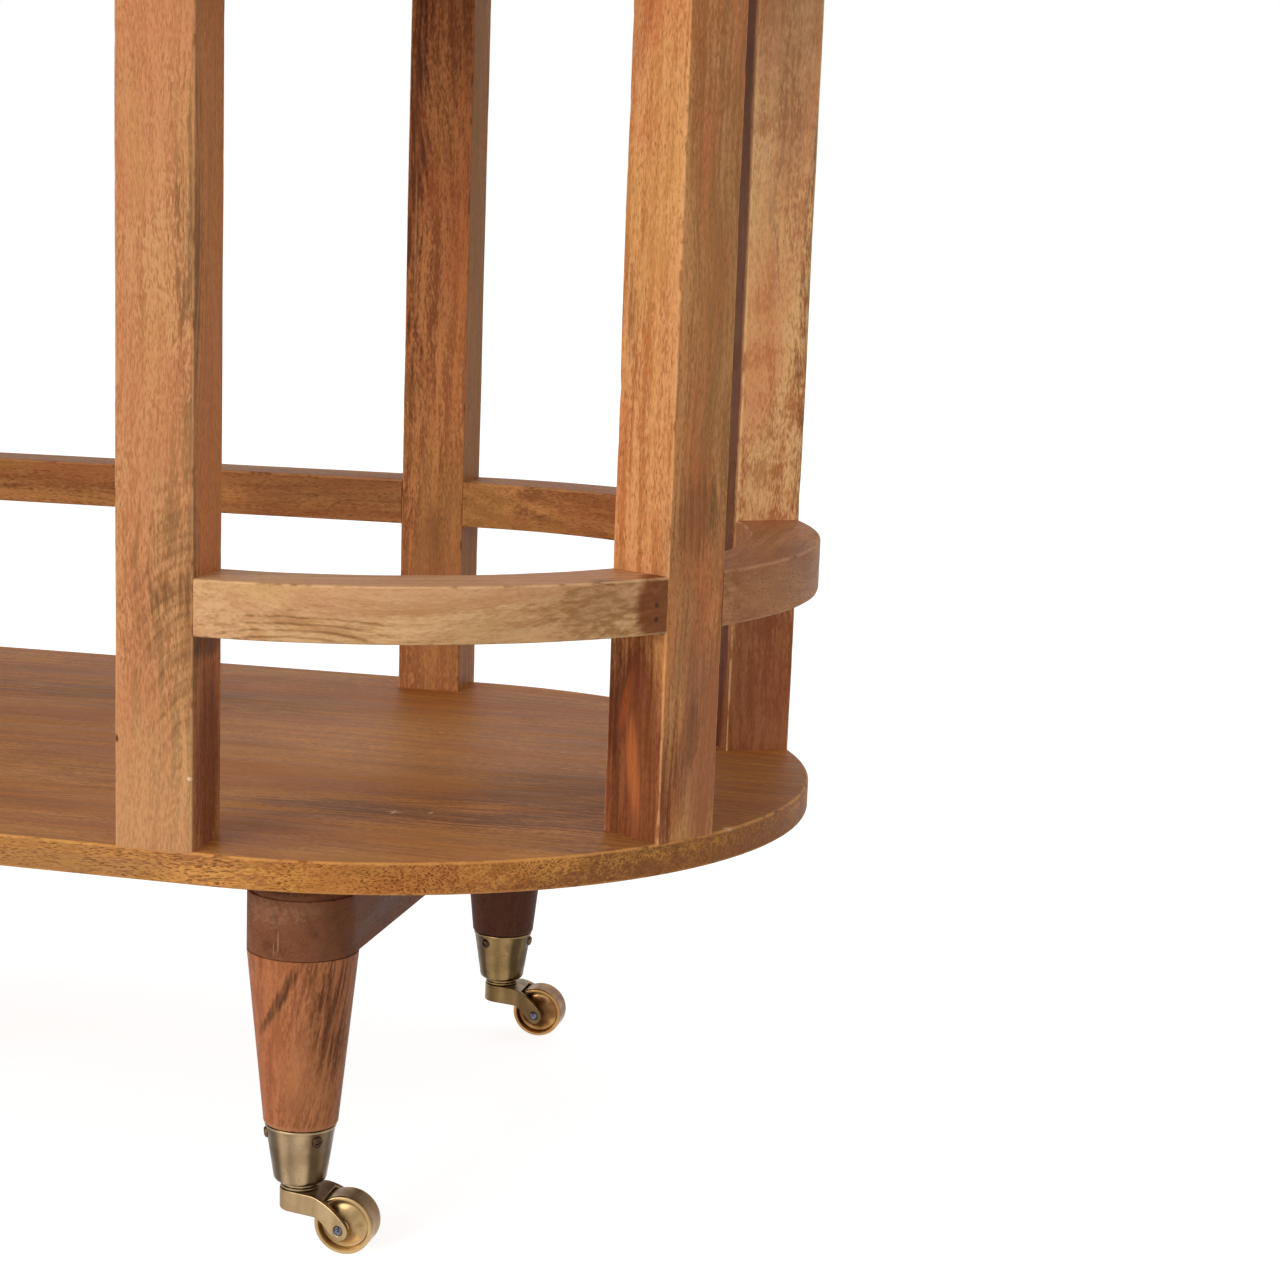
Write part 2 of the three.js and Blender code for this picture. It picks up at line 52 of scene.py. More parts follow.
ACROSS = Vector((0.0, 1.0, 0.0))
WEAR = "edge_wear"
QUARTER = math.pi / 2
EASED_STEPS = 3
AS_IT_IS = Matrix.Identity(4)
HALF_TURN = Matrix.Rotation(math.pi, 4, "Z")

Triple = tuple[float, float, float]
Colour = Triple
Pair = tuple[float, float]

log = logging.getLogger("serving_table")


# Names and choices.


class Side(Enum):
    """The table's two ends, as the sign of X."""

    RIGHT = 1
    LEFT = -1


class Edge(Enum):
    """The table's two long sides, as the sign of Y."""

    FRONT = -1
    BACK = 1


class Slot(Enum):
    """The finishes that the table is made in."""

    SHELF = "shelf_wood"
    POST = "post_wood"
    RAIL = "rail_wood"
    LEG = "leg_wood"
    TRAY = "tray_wood"
    BRASS = "antique_brass"
    STEEL = "axle_steel"


class Carve(Enum):
    """How one solid changes another."""

    CUT = "DIFFERENCE"
    KEEP = "INTERSECT"


# Shapes.


@dataclass
class Shape:
    """A closed surface.

    Attributes:
        points: Its points, in millimetres.
        faces: The points of each face.
        wear: How exposed to wear each point is, from 0 on a flat to 1 on an arris.
    """

    points: list[Vector]
    faces: list[tuple[int, ...]]
    wear: list[float]

    def moved(self, matrix: Matrix) -> "Shape":
        """Returns the shape after a move or a turn."""
        return Shape([matrix @ point for point in self.points], self.faces, self.wear)

    def piece(self, name: str, crease: float = 42.0) -> bpy.types.Object:
        """Makes a Blender object of the shape.

        Args:
            name: The object's name.
            crease: Edges sharper than this many degrees stay crisp.

        Returns:
            The object, at the origin, with smooth curved faces.
        """
        mesh = bpy.data.meshes.new(name)
        mesh.from_pydata([point * MM for point in self.points], [], self.faces)
        mesh.attributes.new(WEAR, "FLOAT", "POINT").data.foreach_set("value", self.wear)
        tidy(mesh)
        soften(mesh, crease)
        made = bpy.data.objects.new(name, mesh)
        bpy.context.scene.collection.objects.link(made)
        made.modifiers.new("true_flats", "WEIGHTED_NORMAL").keep_sharp = True
        return made


def tidy(mesh: bpy.types.Mesh) -> None:
    """Merges doubled points, drops faces with no area and turns all faces outwards.

    Args:
        mesh: The mesh to clean.
    """
    work = bmesh.new()
    work.from_mesh(mesh)
    bmesh.ops.remove_doubles(work, verts=work.verts, dist=1e-7)
    bmesh.ops.dissolve_degenerate(work, edges=work.edges, dist=1e-8)
    bmesh.ops.recalc_face_normals(work, faces=work.faces)
    work.to_mesh(mesh)
    work.free()


def soften(mesh: bpy.types.Mesh, crease: float) -> None:
    """Shades a mesh smooth, with its sharp edges kept.

    Args:
        mesh: The mesh to shade.
        crease: Edges sharper than this many degrees stay crisp.
    """
    mesh.polygons.foreach_set("use_smooth", [True] * len(mesh.polygons))
    mesh.set_sharp_from_angle(angle=math.radians(crease))


def loft(rings: list[list[Vector]], wear: list[list[float]], hoop: bool = False) -> Shape:
    """Joins rings that have equally many points.

    Args:
        rings: The rings, in order along the piece.
        wear: The wear of each of their points.
        hoop: Whether the last ring joins the first. Otherwise both ends are closed.

    Returns:
        The closed shape.
    """
    count = len(rings[0])
    faces = []
    for row in range(len(rings) if hoop else len(rings) - 1):
        near, far = row * count, (row + 1) % len(rings) * count
        for k in range(count):
            after = (k + 1) % count
            faces.append((near + k, near + after, far + after, far + k))
    if not hoop:
        last = (len(rings) - 1) * count
        faces.append(tuple(reversed(range(count))))
        faces.append(tuple(last + k for k in range(count)))
    points = [point for ring in rings for point in ring]
    return Shape(points, faces, [share for ring in wear for share in ring])


def prism(ends: list[list[Vector]]) -> Shape:
    """Joins outlines that have equally many points, with all edges crisp."""
    return loft(ends, [[0.0] * len(ends[0])] * len(ends))


def wander(*place: float) -> float:
    """Returns a smooth wandering number, about -0.5 to 0.5, for three coordinates."""
    return noise.noise(Vector(place))


def turned(profile: list[Pair], segments: int, worn: tuple[int, ...] = ()) -> Shape:
    """Turns a profile about Z.

    Args:
        profile: Radius and height of each point. It starts and ends on the axis, or closes on itself.
        segments: How many steps go round.
        worn: Which points of the profile are on a worn edge.

    Returns:
        The turned shape.
    """
    rings = []
    for step in range(segments):
        angle = 2 * math.pi * step / segments
        rings.append([Vector((r * math.cos(angle), r * math.sin(angle), z)) for r, z in profile])
    wear = [[1.0 if k in worn else 0.0 for k in range(len(profile))]] * segments
    return loft(rings, wear, hoop=True)


def rounded(corners: list[Pair], radii: list[float], steps: int) -> tuple[list[Pair], list[float]]:
    """Turns the corners of an outline into arcs.

    Args:
        corners: The corners, in order.
        radii: The radius at each corner, or 0 to leave it sharp.
        steps: How many straight steps make an arc.

    Returns:
        The points of the outline, and the wear of each.
    """
    points, wear = [], []
    for k, corner in enumerate(corners):
        here = Vector(corner)
        if radii[k] == 0:
            points.append(tuple(here))
            wear.append(0.0)
            continue
        back = (Vector(corners[k - 1]) - here).normalized()
        ahead = (Vector(corners[(k + 1) % len(corners)]) - here).normalized()
        half = back.angle(ahead) / 2
        centre = here + (back + ahead).normalized() * (radii[k] / math.sin(half))
        start = here + back * (radii[k] / math.tan(half)) - centre
        sweep = start.angle_signed(here + ahead * (radii[k] / math.tan(half)) - centre)
        for step in range(steps + 1):
            turn = Matrix.Rotation(-sweep * step / steps, 2)
            points.append(tuple(centre + turn @ start))
            wear.append(math.sin(math.pi * step / steps))
    return points, wear


def stadium(half_straight: float, radius: float, steps: int) -> list[Pair]:
    """Returns an outline long along X: two straight sides and two half rounds of so many steps."""
    points = []
    for sign in (1, -1):
        for step in range(steps + 1):
            angle = math.pi * step / steps - QUARTER
            x, y = half_straight + radius * math.cos(angle), radius * math.sin(angle)
            points.append((sign * x, sign * y))
    return points


def slab(outline: list[Pair], low: float, high: float, ease: float, steps: int = 4) -> Shape:
    """A flat piece with its upper and lower edges rounded.

    Args:
        outline: Its outline, anticlockwise.
        low: Height of its underside.
        high: Height of its top.
        ease: Radius of the rounded edges.
        steps: How many straight steps make an edge's arc.

    Returns:
        The slab.
    """
    flat = [Vector(point) for point in outline]
    inwards = []
    for k, here in enumerate(flat):
        run = (flat[(k + 1) % len(flat)] - here).normalized() + (here - flat[k - 1]).normalized()
        inwards.append(Vector((-run.y, run.x)).normalized())
    rings, wear = [], []
    for base, sign in ((low + ease, -1), (high - ease, 1)):
        for step in range(steps + 1):
            share = (steps - step if sign < 0 else step) / steps
            angle = share * QUARTER
            inset, rise = ease * (1 - math.cos(angle)), sign * ease * math.sin(angle)
            rings.append([(p + n * inset).to_3d() + UP * (base + rise) for p, n in zip(flat, inwards)])
            wear.append([math.sin(math.pi * share)] * len(flat))
    return loft(rings, wear)


def carved(name: str, body: Shape, steps: list[tuple[Carve, Shape]]) -> bpy.types.Mesh:
    """Cuts a solid with others, one after another.

    Args:
        name: The name of the mesh that comes out.
        body: The solid to start from.
        steps: What is done with each of the other solids.

    Returns:
        The mesh that is left.
    """
    work = body.piece(name + "_blank")
    work.modifiers.clear()
    tools = []
    for way, shape in steps:
        tool = shape.piece(name + "_tool")
        tool.modifiers.clear()
        tools.append(tool)
        cut = work.modifiers.new("carve", "BOOLEAN")
        cut.object, cut.operation, cut.solver = tool, way.value, "EXACT"
    held = work.evaluated_get(bpy.context.evaluated_depsgraph_get())
    mesh = bpy.data.meshes.new_from_object(held)
    mesh.name = name
    for spare in (*tools, work):
        bpy.data.objects.remove(spare)
    return mesh


def eased(name: str, mesh: bpy.types.Mesh, crease: float, ease: float, sharp: float) -> bpy.types.Object:
    """Makes an object of a carved mesh and rounds its sharp edges.

    Args:
        name: The object's name.
        mesh: The carved mesh.
        crease: Edges sharper than this many degrees stay crisp.
        ease: Width of the rounding, in millimetres.
        sharp: Edges sharper than this many degrees are rounded.

    Returns:
        The object, at the origin.
    """
    tidy(mesh)
    soften(mesh, crease)
    made = bpy.data.objects.new(name, mesh)
    bpy.context.scene.collection.objects.link(made)
    bevel = made.modifiers.new("eased_edges", "BEVEL")
    bevel.width, bevel.segments = ease * MM, EASED_STEPS
    bevel.limit_method, bevel.angle_limit = "ANGLE", math.radians(sharp)
    made.modifiers.new("true_flats", "WEIGHTED_NORMAL").keep_sharp = True
    return made


# Finishes.

# Features a metre in the wood: across the grain, across it again, and along it.
SWAY = (4.5, 4.5, 2.6)
DRIFT = (26, 26, 6)
WAVE = (34, 34, 60)
STREAK = (105, 105, 3.4)
FIBRE = (430, 430, 18)
SPECK = (1000, 1000, 260)
PORE = (1450, 1450, 300)
CHIP = (110, 110, 110)
ARC_SHAKE = (45, 45, 45)

# How far one piece's wood is from the next in the tree, in metres.
SEED_STEP = (3.17, 1.93, 0.71)

# How far the wood's figure sways from straight, in metres, and how deep its relief is.
SWAY_REACH = (0.055, 0.055, 0.02)
WOOD_RELIEF = 0.00012

# Mango wood oiled thin has next to no shine of its own.
WOOD_SHEEN = 0.07

# The wave texture repeats after this distance at scale 1.
WAVE_PERIOD = math.pi / 10

# How far streaks, long fibres and short flecks break up a mark's edge.
FRAY = (1.1, 2.1, 0.9)

# A mark's colour where the grain is darkest and palest, as shares of its tone.
MARK_SHADES = (0.87, 1.12)

# Features a metre in the metals: across the lathe's axis, across it again, and along it.
TARNISH = (90, 90, 90)
BAND = (70, 70, 12)
TURNING = (60, 60, 2600)
SPOT = (420, 420, 420)
STEEL_SPOT = (500, 500, 500)
STEEL_TURNING = (200, 200, 3000)
METAL_RELIEF = 0.00002


def paint(red: int, green: int, blue: int) -> Colour:
    """Returns the light that a screen colour of 0 to 255 stands for, by the screens' standard curve."""
    return tuple(
        (v / 255 / 12.92) if v <= 10 else ((v / 255 + 0.055) / 1.055) ** 2.4 for v in (red, green, blue)
    )


class Recipe:
    """The nodes of a material or of the world, added and wired in reading order."""

    def __init__(self, owner: bpy.types.Material | bpy.types.World) -> None:
        """Starts with no nodes.

        Args:
            owner: The material or world that the nodes make up.
        """
        owner.use_nodes = True
        self.owner = owner
        self.tree = owner.node_tree
        self.tree.nodes.clear()

    def add(self, kind: str, inputs: dict, **settings: object) -> bpy.types.Node:
        """Adds a node.

        Args:
            kind: The node's type, without its leading "ShaderNode".
            inputs: A value, or a socket to wire, for each named or numbered input.
            **settings: Its other settings.

        Returns:
            The node.
        """
        node = self.tree.nodes.new("ShaderNode" + kind)
        for key, value in settings.items():
            setattr(node, key, value)
        for key, value in inputs.items():
            if isinstance(value, bpy.types.NodeSocket):
                self.tree.links.new(value, node.inputs[key])
            else:
                node.inputs[key].default_value = value
        return node

    def sum(self, operation: str, *values: object) -> bpy.types.NodeSocket:
        """Returns the outcome of a Math node on the values."""
        return self.add("Math", dict(enumerate(values)), operation=operation).outputs[0]

    def vector(self, operation: str, *values: object) -> bpy.types.Node:
        """Returns a Vector Math node on the values."""
        return self.add("VectorMath", dict(enumerate(values)), operation=operation)

    def stretched(self, where: bpy.types.NodeSocket, scale: Triple) -> bpy.types.NodeSocket:
        """Returns coordinates with each axis scaled."""
        return self.vector("MULTIPLY", where, scale).outputs[0]

    def cloud(self, where: bpy.types.NodeSocket, scale: Triple, detail: float = 2.0) -> bpy.types.NodeSocket:
        """Returns noise, 0 to 1, with so many features a metre along each axis."""
        place = self.stretched(where, scale)
        return self.add("TexNoise", {"Vector": place, "Scale": 1.0, "Detail": detail}).outputs[0]

    def between(
        self, value: object, low: float, high: float, start: float = 0.0, end: float = 1.0
    ) -> bpy.types.NodeSocket:
        """Returns start below low, end above high, and a smooth change from one to the other."""
        inputs = {"Value": value, "From Min": low, "From Max": high, "To Min": start, "To Max": end}
        return self.add("MapRange", inputs, interpolation_type="SMOOTHSTEP").outputs[0]

    def blend(self, share: object, low: object, high: object) -> bpy.types.NodeSocket:
        """Returns one colour mixed with another by a share from 0 to 1."""
        node = self.add("Mix", {0: share}, data_type="RGBA")
        for key, value in ((6, low), (7, high)):
            if isinstance(value, bpy.types.NodeSocket):
                self.tree.links.new(value, node.inputs[key])
            else:
                node.inputs[key].default_value = (*value, 1.0)
        return node.outputs[2]

    def aligned(self, axis: Vector, offset: Triple) -> tuple[bpy.types.NodeSocket, bpy.types.NodeSocket]:
        """Adds the coordinates that a finish needs.

        Args:
            axis: The direction of the grain, or of the lathe's axis.
            offset: How far the second coordinates are moved, in metres.

        Returns:
            The coordinates in the table's frame, and the same turned until the axis is upright.
        """
        here = self.add("TexCoord", {}).outputs["Object"]
        turn = axis.normalized().rotation_difference(UP).to_euler("XYZ")
        inputs = {"Vector": here, "Rotation": turn, "Location": offset}
        return here, self.add("Mapping", inputs).outputs[0]

    def surface(self, obj: bpy.types.Object, inputs: dict, bump: bpy.types.NodeSocket, depth: float) -> None:
        """Ends the recipe with a surface and puts it on an object.

        Args:
            obj: The object that gets the material.
            inputs: What goes into the surface shader.
            bump: The height of the surface's relief, 0 to 1.
            depth: How deep that relief is, in metres.
        """
        relief = self.add("Bump", {"Height": bump, "Strength": 1.0, "Distance": depth}).outputs[0]
        shader = self.add("BsdfPrincipled", {**inputs, "Normal": relief})
        self.add("OutputMaterial", {"Surface": shader.outputs[0]})
        obj.data.materials.clear()
        obj.data.materials.append(self.owner)


@dataclass(frozen=True)
class Mark:
    """A darker or lighter place in the wood.

    Attributes:
        centre: Its middle, in millimetres, in the table's frame.
        reach: How far it reaches along X, Y and Z.
        tone: Its colour.
        strength: How much of the wood it covers.
        ragged: How much the fibres break up its edge.
        eye: The point that the arcs in it go round, if it has arcs.
        flat: How much narrower those arcs are along X, Y and Z than a circle.
        gap: The distance between them, in millimetres.
        lean: How far it leans from upright towards +X, in degrees.
    """

    centre: Triple
    reach: Triple
    tone: Colour
    strength: float = 0.8
    ragged: float = 1.0
    eye: Triple | None = None
    flat: Triple = (1.0, 1.0, 1.0)
    gap: float = 12.0
    lean: float = 0.0


@dataclass(frozen=True)
class MangoWood:
    """Oiled mango wood: crowded short flecks, drifting streaks and smoky dark places.

    Attributes:
        light: Its palest streaks.
        dark: Its darkest streaks.
        warm: The reddish colour that it drifts to in clouds.
        gold: The yellowish colour that it drifts to in others.
        fleck: The colour of its pores.
        smoke: The colour of its smoky places.
        streaks: How strongly it is streaked.
        fibres: How strongly its long fibres show.
        speckle: How strongly it is flecked.
        curl: How strongly its fibres wave across the grain.
        rings: How strongly its growth rings show.
        clouds: How strongly it drifts to the reddish and to the yellowish colour.
        smoky: How much of it is smoky.
        pores: How dark its pores are.
        dense: How crowded they are.
        calm: How much fainter they are on its sanded upper face.
        worn: How pale its arrises are.
        ring_gap: The distance between growth rings, in millimetres.
        pith: How far the middle of the tree is from the piece's axis.
        gloss: Roughness of its smoothest and roughest places.
        marks: Places that differ from the rest.
    """

    light: Colour
    dark: Colour
    warm: Colour
    gold: Colour
    fleck: Colour = paint(112, 66, 36)
    smoke: Colour = paint(112, 80, 52)
    streaks: float = 1.6
    fibres: float = 0.9
    speckle: float = 1.3
    curl: float = 0.5
    rings: float = 0.2
    clouds: Pair = (0.55, 0.45)
    smoky: float = 0.35
    pores: float = 0.5
    dense: float = 0.0
    calm: float = 0.0
    worn: float = 0.6
    ring_gap: float = 9.0
    pith: Pair = (70.0, 45.0)
    gloss: Pair = (0.46, 0.62)
    marks: tuple[Mark, ...] = ()

    def dress(self, obj: bpy.types.Object, grain: Vector, seed: float) -> None:
        """Gives a piece this wood.

        Args:
            obj: The piece.
            grain: The direction in which its grain runs.
            seed: Which part of the tree it is cut from.
        """
        mix = Recipe(bpy.data.materials.new(obj.name + "_finish"))
        offset = Vector([seed * step for step in SEED_STEP])
        here, trunk = mix.aligned(grain, offset)
        sway = {"Vector": mix.stretched(trunk, SWAY), "Scale": 1.0, "Detail": 3.0}
        bend = mix.add("TexNoise", sway).outputs["Color"]
        bent = mix.vector("MULTIPLY_ADD", bend, SWAY_REACH, trunk).outputs[0]

        streak = mix.cloud(bent, STREAK, 5.0)
        fibre = mix.cloud(bent, FIBRE)
        speck = mix.cloud(bent, SPECK)
        wave = mix.cloud(bent, WAVE)
        to_pith = (self.pith[0] * MM - offset.x, self.pith[1] * MM - offset.y, 0.0)
        rings = {"Vector": mix.vector("ADD", bent, to_pith).outputs[0]}
        rings |= {"Scale": WAVE_PERIOD / (self.ring_gap * MM), "Distortion": 2.5}
        rings |= {"Detail": 2.0, "Detail Scale": 1.5}
        ring = mix.add("TexWave", rings, wave_type="RINGS", rings_direction="Z").outputs["Fac"]
        tone = 0.5
        parts = {streak: self.streaks, fibre: self.fibres, speck: self.speckle}
        parts |= {wave: self.curl, ring: self.rings}
        for part, share in parts.items():
            tone = mix.sum("MULTIPLY_ADD", mix.sum("SUBTRACT", part, 0.5), share, tone)
        grain_tone = mix.between(tone, 0.0, 1.0)
        colour = mix.blend(grain_tone, self.dark, self.light)

        clouds = {"Vector": mix.stretched(bent, DRIFT), "Scale": 1.0, "Detail": 4.0}
        drift = mix.add("TexNoise", clouds).outputs["Color"]
        red, green, blue = mix.add("SeparateColor", {0: drift}).outputs
        colour = mix.blend(mix.between(red, 0.44, 0.62, 0.0, self.clouds[0]), colour, self.warm)
        colour = mix.blend(mix.between(green, 0.48, 0.64, 0.0, self.clouds[1]), colour, self.gold)
        haze = mix.between(blue, 0.5, 0.7, 0.0, self.smoky)
        haze = mix.sum("MULTIPLY", haze, mix.between(streak, 0.3, 0.6, 0.35, 1.0))
        colour = mix.blend(haze, colour, self.smoke)

        dash = mix.between(mix.cloud(bent, PORE, 1.0), 0.57 - self.dense, 0.7 - self.dense)
        up = mix.add("SeparateXYZ", {0: mix.add("NewGeometry", {}).outputs["Normal"]}).outputs[2]
        dash = mix.sum("MULTIPLY", dash, mix.between(up, 0.5, 0.9, 1.0, 1.0 - self.calm))
        pores = mix.sum("MULTIPLY", dash, mix.between(wave, 0.35, 0.6, 0.45, 1.0))
        colour = mix.blend(mix.sum("MULTIPLY", pores, self.pores), colour, self.fleck)
        for mark in self.marks:
            colour = self._marked(mix, here, colour, (streak, fibre, speck), grain_tone, mark)

        rub = mix.add("Attribute", {}, attribute_name=WEAR).outputs["Fac"]
        chipped = mix.cloud(here, CHIP, 4.0)
        pale = tuple(min(1.0, v * 1.2 + 0.02) for v in self.light)
        rubbed = mix.between(chipped, 0.36, 0.56, 0.3 * self.worn, self.worn)
        colour = mix.blend(mix.sum("MULTIPLY", rub, rubbed), colour, pale)
        grimy = mix.between(chipped, 0.34, 0.43, 0.55, 0.0)
        colour = mix.blend(mix.sum("MULTIPLY", rub, grimy), colour, self.fleck)

        height = mix.sum("MULTIPLY_ADD", pores, -0.8, speck)
        rough = mix.between(mix.sum("MULTIPLY_ADD", pores, 0.5, streak), 0.3, 0.9, *self.gloss)
        look = {"Base Color": colour, "Roughness": rough, "Specular IOR Level": WOOD_SHEEN}
        mix.surface(obj, look, height, WOOD_RELIEF)

    @staticmethod
    def _marked(
        mix: Recipe,
        here: bpy.types.NodeSocket,
        colour: bpy.types.NodeSocket,
        fibres: tuple[bpy.types.NodeSocket, ...],
        tone: bpy.types.NodeSocket,
        mark: Mark,
    ) -> bpy.types.NodeSocket:
        """Adds one mark to the wood's colour.

        Args:
            mix: The recipe to add to.
            here: Coordinates in the table's frame.
            colour: The colour so far.
            fibres: The wood's streaks, long fibres and short flecks, which break the mark up.
            tone: How pale the grain is, 0 to 1, which shows through the mark.
            mark: The mark.

        Returns:
            The colour with the mark.
        """
        away = mix.vector("SUBTRACT", here, Vector(mark.centre) * MM).outputs[0]
        if mark.lean:
            upright = (0.0, -math.radians(mark.lean), 0.0)
            away = mix.add("Mapping", {"Vector": away, "Rotation": upright}).outputs[0]
        scaled = mix.stretched(away, tuple(1 / (r * MM) for r in mark.reach))
        share = mix.vector("LENGTH", scaled).outputs["Value"]
        for fibre, weight in zip(fibres, FRAY):
            share = mix.sum("MULTIPLY_ADD", mix.sum("SUBTRACT", fibre, 0.5), weight * mark.ragged, share)
        soft = min(0.5, 0.1 + 0.5 * mark.ragged)
        share = mix.between(share, 0.8 - soft, 0.8 + soft, mark.strength, 0.0)
        lines = mix.between(fibres[1], 0.38, 0.58, 1.0, 1.0 - 0.55 * min(1.0, mark.ragged))
        share = mix.sum("MULTIPLY", share, lines)
        if mark.eye:
            round_eye = mix.vector("SUBTRACT", here, Vector(mark.eye) * MM).outputs[0]
            shaken = mix.cloud(here, ARC_SHAKE, 3.0)
            far = mix.vector("LENGTH", mix.stretched(round_eye, mark.flat)).outputs["Value"]
            far = mix.sum("MULTIPLY_ADD", shaken, 0.7 * mark.gap * MM, far)
            arc = mix.sum("SINE", mix.sum("MULTIPLY", far, 2 * math.pi / (mark.gap * MM)))
            share = mix.sum("MULTIPLY", share, mix.between(arc, 0.0, 0.95, 0.1, 1.0))
        shades = (tuple(v * depth for v in mark.tone) for depth in MARK_SHADES)
        return mix.blend(share, colour, mix.blend(tone, *shades))


@dataclass(frozen=True)
class AntiqueBrass:
    """Satin brass with a brown patina, and round an upright hub painted reflection bands.

    Attributes:
        bright: Its colour where hands and the floor rub it, and in its pale bands.
        dull: Its usual colour.
        patina: The colour of its oldest places.
        hub: Where its upright axis stands, in millimetres, if painted reflection bands go round one.
        gloss: Roughness of its smoothest and roughest places.
        broad_reflection: How many broad painted reflection bands go round the hub, and where they start, in
            radians.
        fine_reflection: The same of the fine painted reflection bands.
    """

    bright: Colour = paint(176, 150, 116)
    dull: Colour = paint(86, 70, 50)
    patina: Colour = paint(80, 60, 38)
    hub: Pair | None = None
    gloss: Pair = (0.28, 0.44)
    broad_reflection: Pair = (3.0, -0.42)
    fine_reflection: Pair = (9.0, -1.01)

    def dress(self, obj: bpy.types.Object, axis: Vector, seed: float) -> None:
        """Gives a piece this brass.

        Args:
            obj: The piece.
            axis: The axis about which it was turned and polished.
            seed: Which patch of patina it has.
        """
        mix = Recipe(bpy.data.materials.new(obj.name + "_finish"))
        here, lathe = mix.aligned(axis, (seed, seed * 0.37, 0.0))
        cloud = mix.between(mix.cloud(lathe, TARNISH, 3.0), 0.35, 0.65)
        bands = mix.between(mix.cloud(lathe, BAND), 0.36, 0.64)
        # Painted reflection: round a hub, bright and dull bands by angle stand in for the studio's
        # reflections in the turned brass.
        if self.hub:
            from_hub = mix.vector("SUBTRACT", here, Vector((*self.hub, 0)) * MM).outputs[0]
            east, north, _ = mix.add("SeparateXYZ", {0: from_hub}).outputs
            angle = mix.sum("ADD", mix.sum("ARCTAN2", north, east), mix.sum("MULTIPLY", bands, 0.12))
            broad_reflection = mix.sum("SINE", mix.sum("MULTIPLY_ADD", angle, *self.broad_reflection))
            fine_reflection = mix.sum("SINE", mix.sum("MULTIPLY_ADD", angle, *self.fine_reflection))
            bands = mix.between(mix.sum("MULTIPLY_ADD", fine_reflection, 0.7, broad_reflection), -1.1, 1.5)
        lines = mix.cloud(lathe, TURNING)
        specks = mix.between(mix.cloud(lathe, SPOT), 0.6, 0.76)
        colour = mix.blend(bands, self.dull, self.bright)
        colour = mix.blend(mix.sum("MULTIPLY", cloud, 0.3), colour, self.patina)
        colour = mix.blend(mix.sum("MULTIPLY", specks, 0.3), colour, self.patina)
        rub = mix.add("Attribute", {}, attribute_name=WEAR).outputs["Fac"]
        colour = mix.blend(mix.sum("MULTIPLY", rub, 0.6), colour, self.bright)
        rough = mix.between(mix.sum("MULTIPLY_ADD", lines, 0.5, cloud), 0.2, 1.2, *self.gloss)
        look = {"Base Color": colour, "Metallic": 1.0, "Roughness": rough}
        mix.surface(obj, look, mix.sum("MULTIPLY_ADD", specks, -0.4, lines), METAL_RELIEF)


@dataclass(frozen=True)
class Steel:
    """Dull grey steel, as on a riveted pin.

    Attributes:
        bare: Its colour where it is clean.
        stained: Its colour in the tarnish.
        gloss: Roughness of its smoothest and roughest places.
    """

    bare: Colour = paint(114, 114, 122)
    stained: Colour = paint(70, 70, 80)
    gloss: Pair = (0.5, 0.65)

    def dress(self, obj: bpy.types.Object, axis: Vector, seed: float) -> None:
        """Gives a piece this steel.

        Args:
            obj: The piece.
            axis: The axis about which it was turned.
            seed: Which patch of tarnish it has.
        """
        mix = Recipe(bpy.data.materials.new(obj.name + "_finish"))
        _, lathe = mix.aligned(axis, (seed, seed, 0.0))
        spots = mix.between(mix.cloud(lathe, STEEL_SPOT, 3.0), 0.4, 0.65)
        lines = mix.cloud(lathe, STEEL_TURNING, 1.0)
        colour = mix.blend(spots, self.bare, self.stained)
        rough = mix.between(spots, 0.0, 1.0, *self.gloss)
        look = {"Base Color": colour, "Metallic": 1.0, "Roughness": rough}
        mix.surface(obj, look, mix.sum("MULTIPLY_ADD", spots, -0.5, lines), METAL_RELIEF)


TAN = MangoWood(paint(212, 152, 98), paint(170, 108, 62), paint(190, 112, 68), paint(206, 148, 84))


# Pieces of the table.


def settle(obj: bpy.types.Object, body: str, slot: Slot, *nodes: str) -> None:
    """Puts a finished piece on the body that carries it.

    Args:
        obj: The piece.
        body: The body that it moves with.
        slot: The finish that it is made in.
        *nodes: The solids of the model that it stands for.
    """
    if nodes:
        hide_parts(*nodes)
    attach(obj, body)
    log.info("%s on %s, in %s", obj.name, body, slot.value)


@dataclass(frozen=True)
class Outline:
    """The table seen from above: straight long sides and half-round ends.

    Attributes:
        length: Overall length.
        depth: Overall depth.
    """

    length: float = 920.0
    depth: float = 500.0

    @property
    def radius(self) -> float:
        """Radius of a round end."""
        return self.depth / 2

    @property
    def straight(self) -> float:
        """From the middle of the table to where a round end starts."""
        return self.length / 2 - self.radius

    def board(self, inset: float = 0.0, steps: int = 80) -> list[Pair]:
        """Returns the outline, drawn in by an inset."""
        return stadium(self.straight, self.radius - inset, steps)


@dataclass(frozen=True)
class Levels:
    """Heights above the floor.

    Attributes:
        fork_top: Top of the castors' forks.
        collar: Foot of the collars.
        cup: Foot of the cups.
        leg_foot: Foot of the legs, on the cups' lips.
        leg_top: Top of the legs.
        batten: Underside of the battens.
        batten_top: Top of the battens.
        shelf: Underside of the shelf.
        shelf_top: Top of the shelf.
        post_top: Top of the posts.
        low_rail: Underside of the low rails.
        top_rail: Underside of the top rails.
        rim: Foot of the tray's rim.
        tray: Underside of the tray's board.
    """

    fork_top: float = 31.0
    collar: float = 31.3
    cup: float = 34.6
    leg_foot: float = 66.1
    leg_top: float = 157.9
    batten: float = 158.2
    batten_top: float = 199.4
    shelf: float = 199.7
    shelf_top: float = 216.2
    post_top: float = 696.5
    low_rail: float = 322.2
    top_rail: float = 668.3
    rim: float = 696.8
    tray: float = 701.1


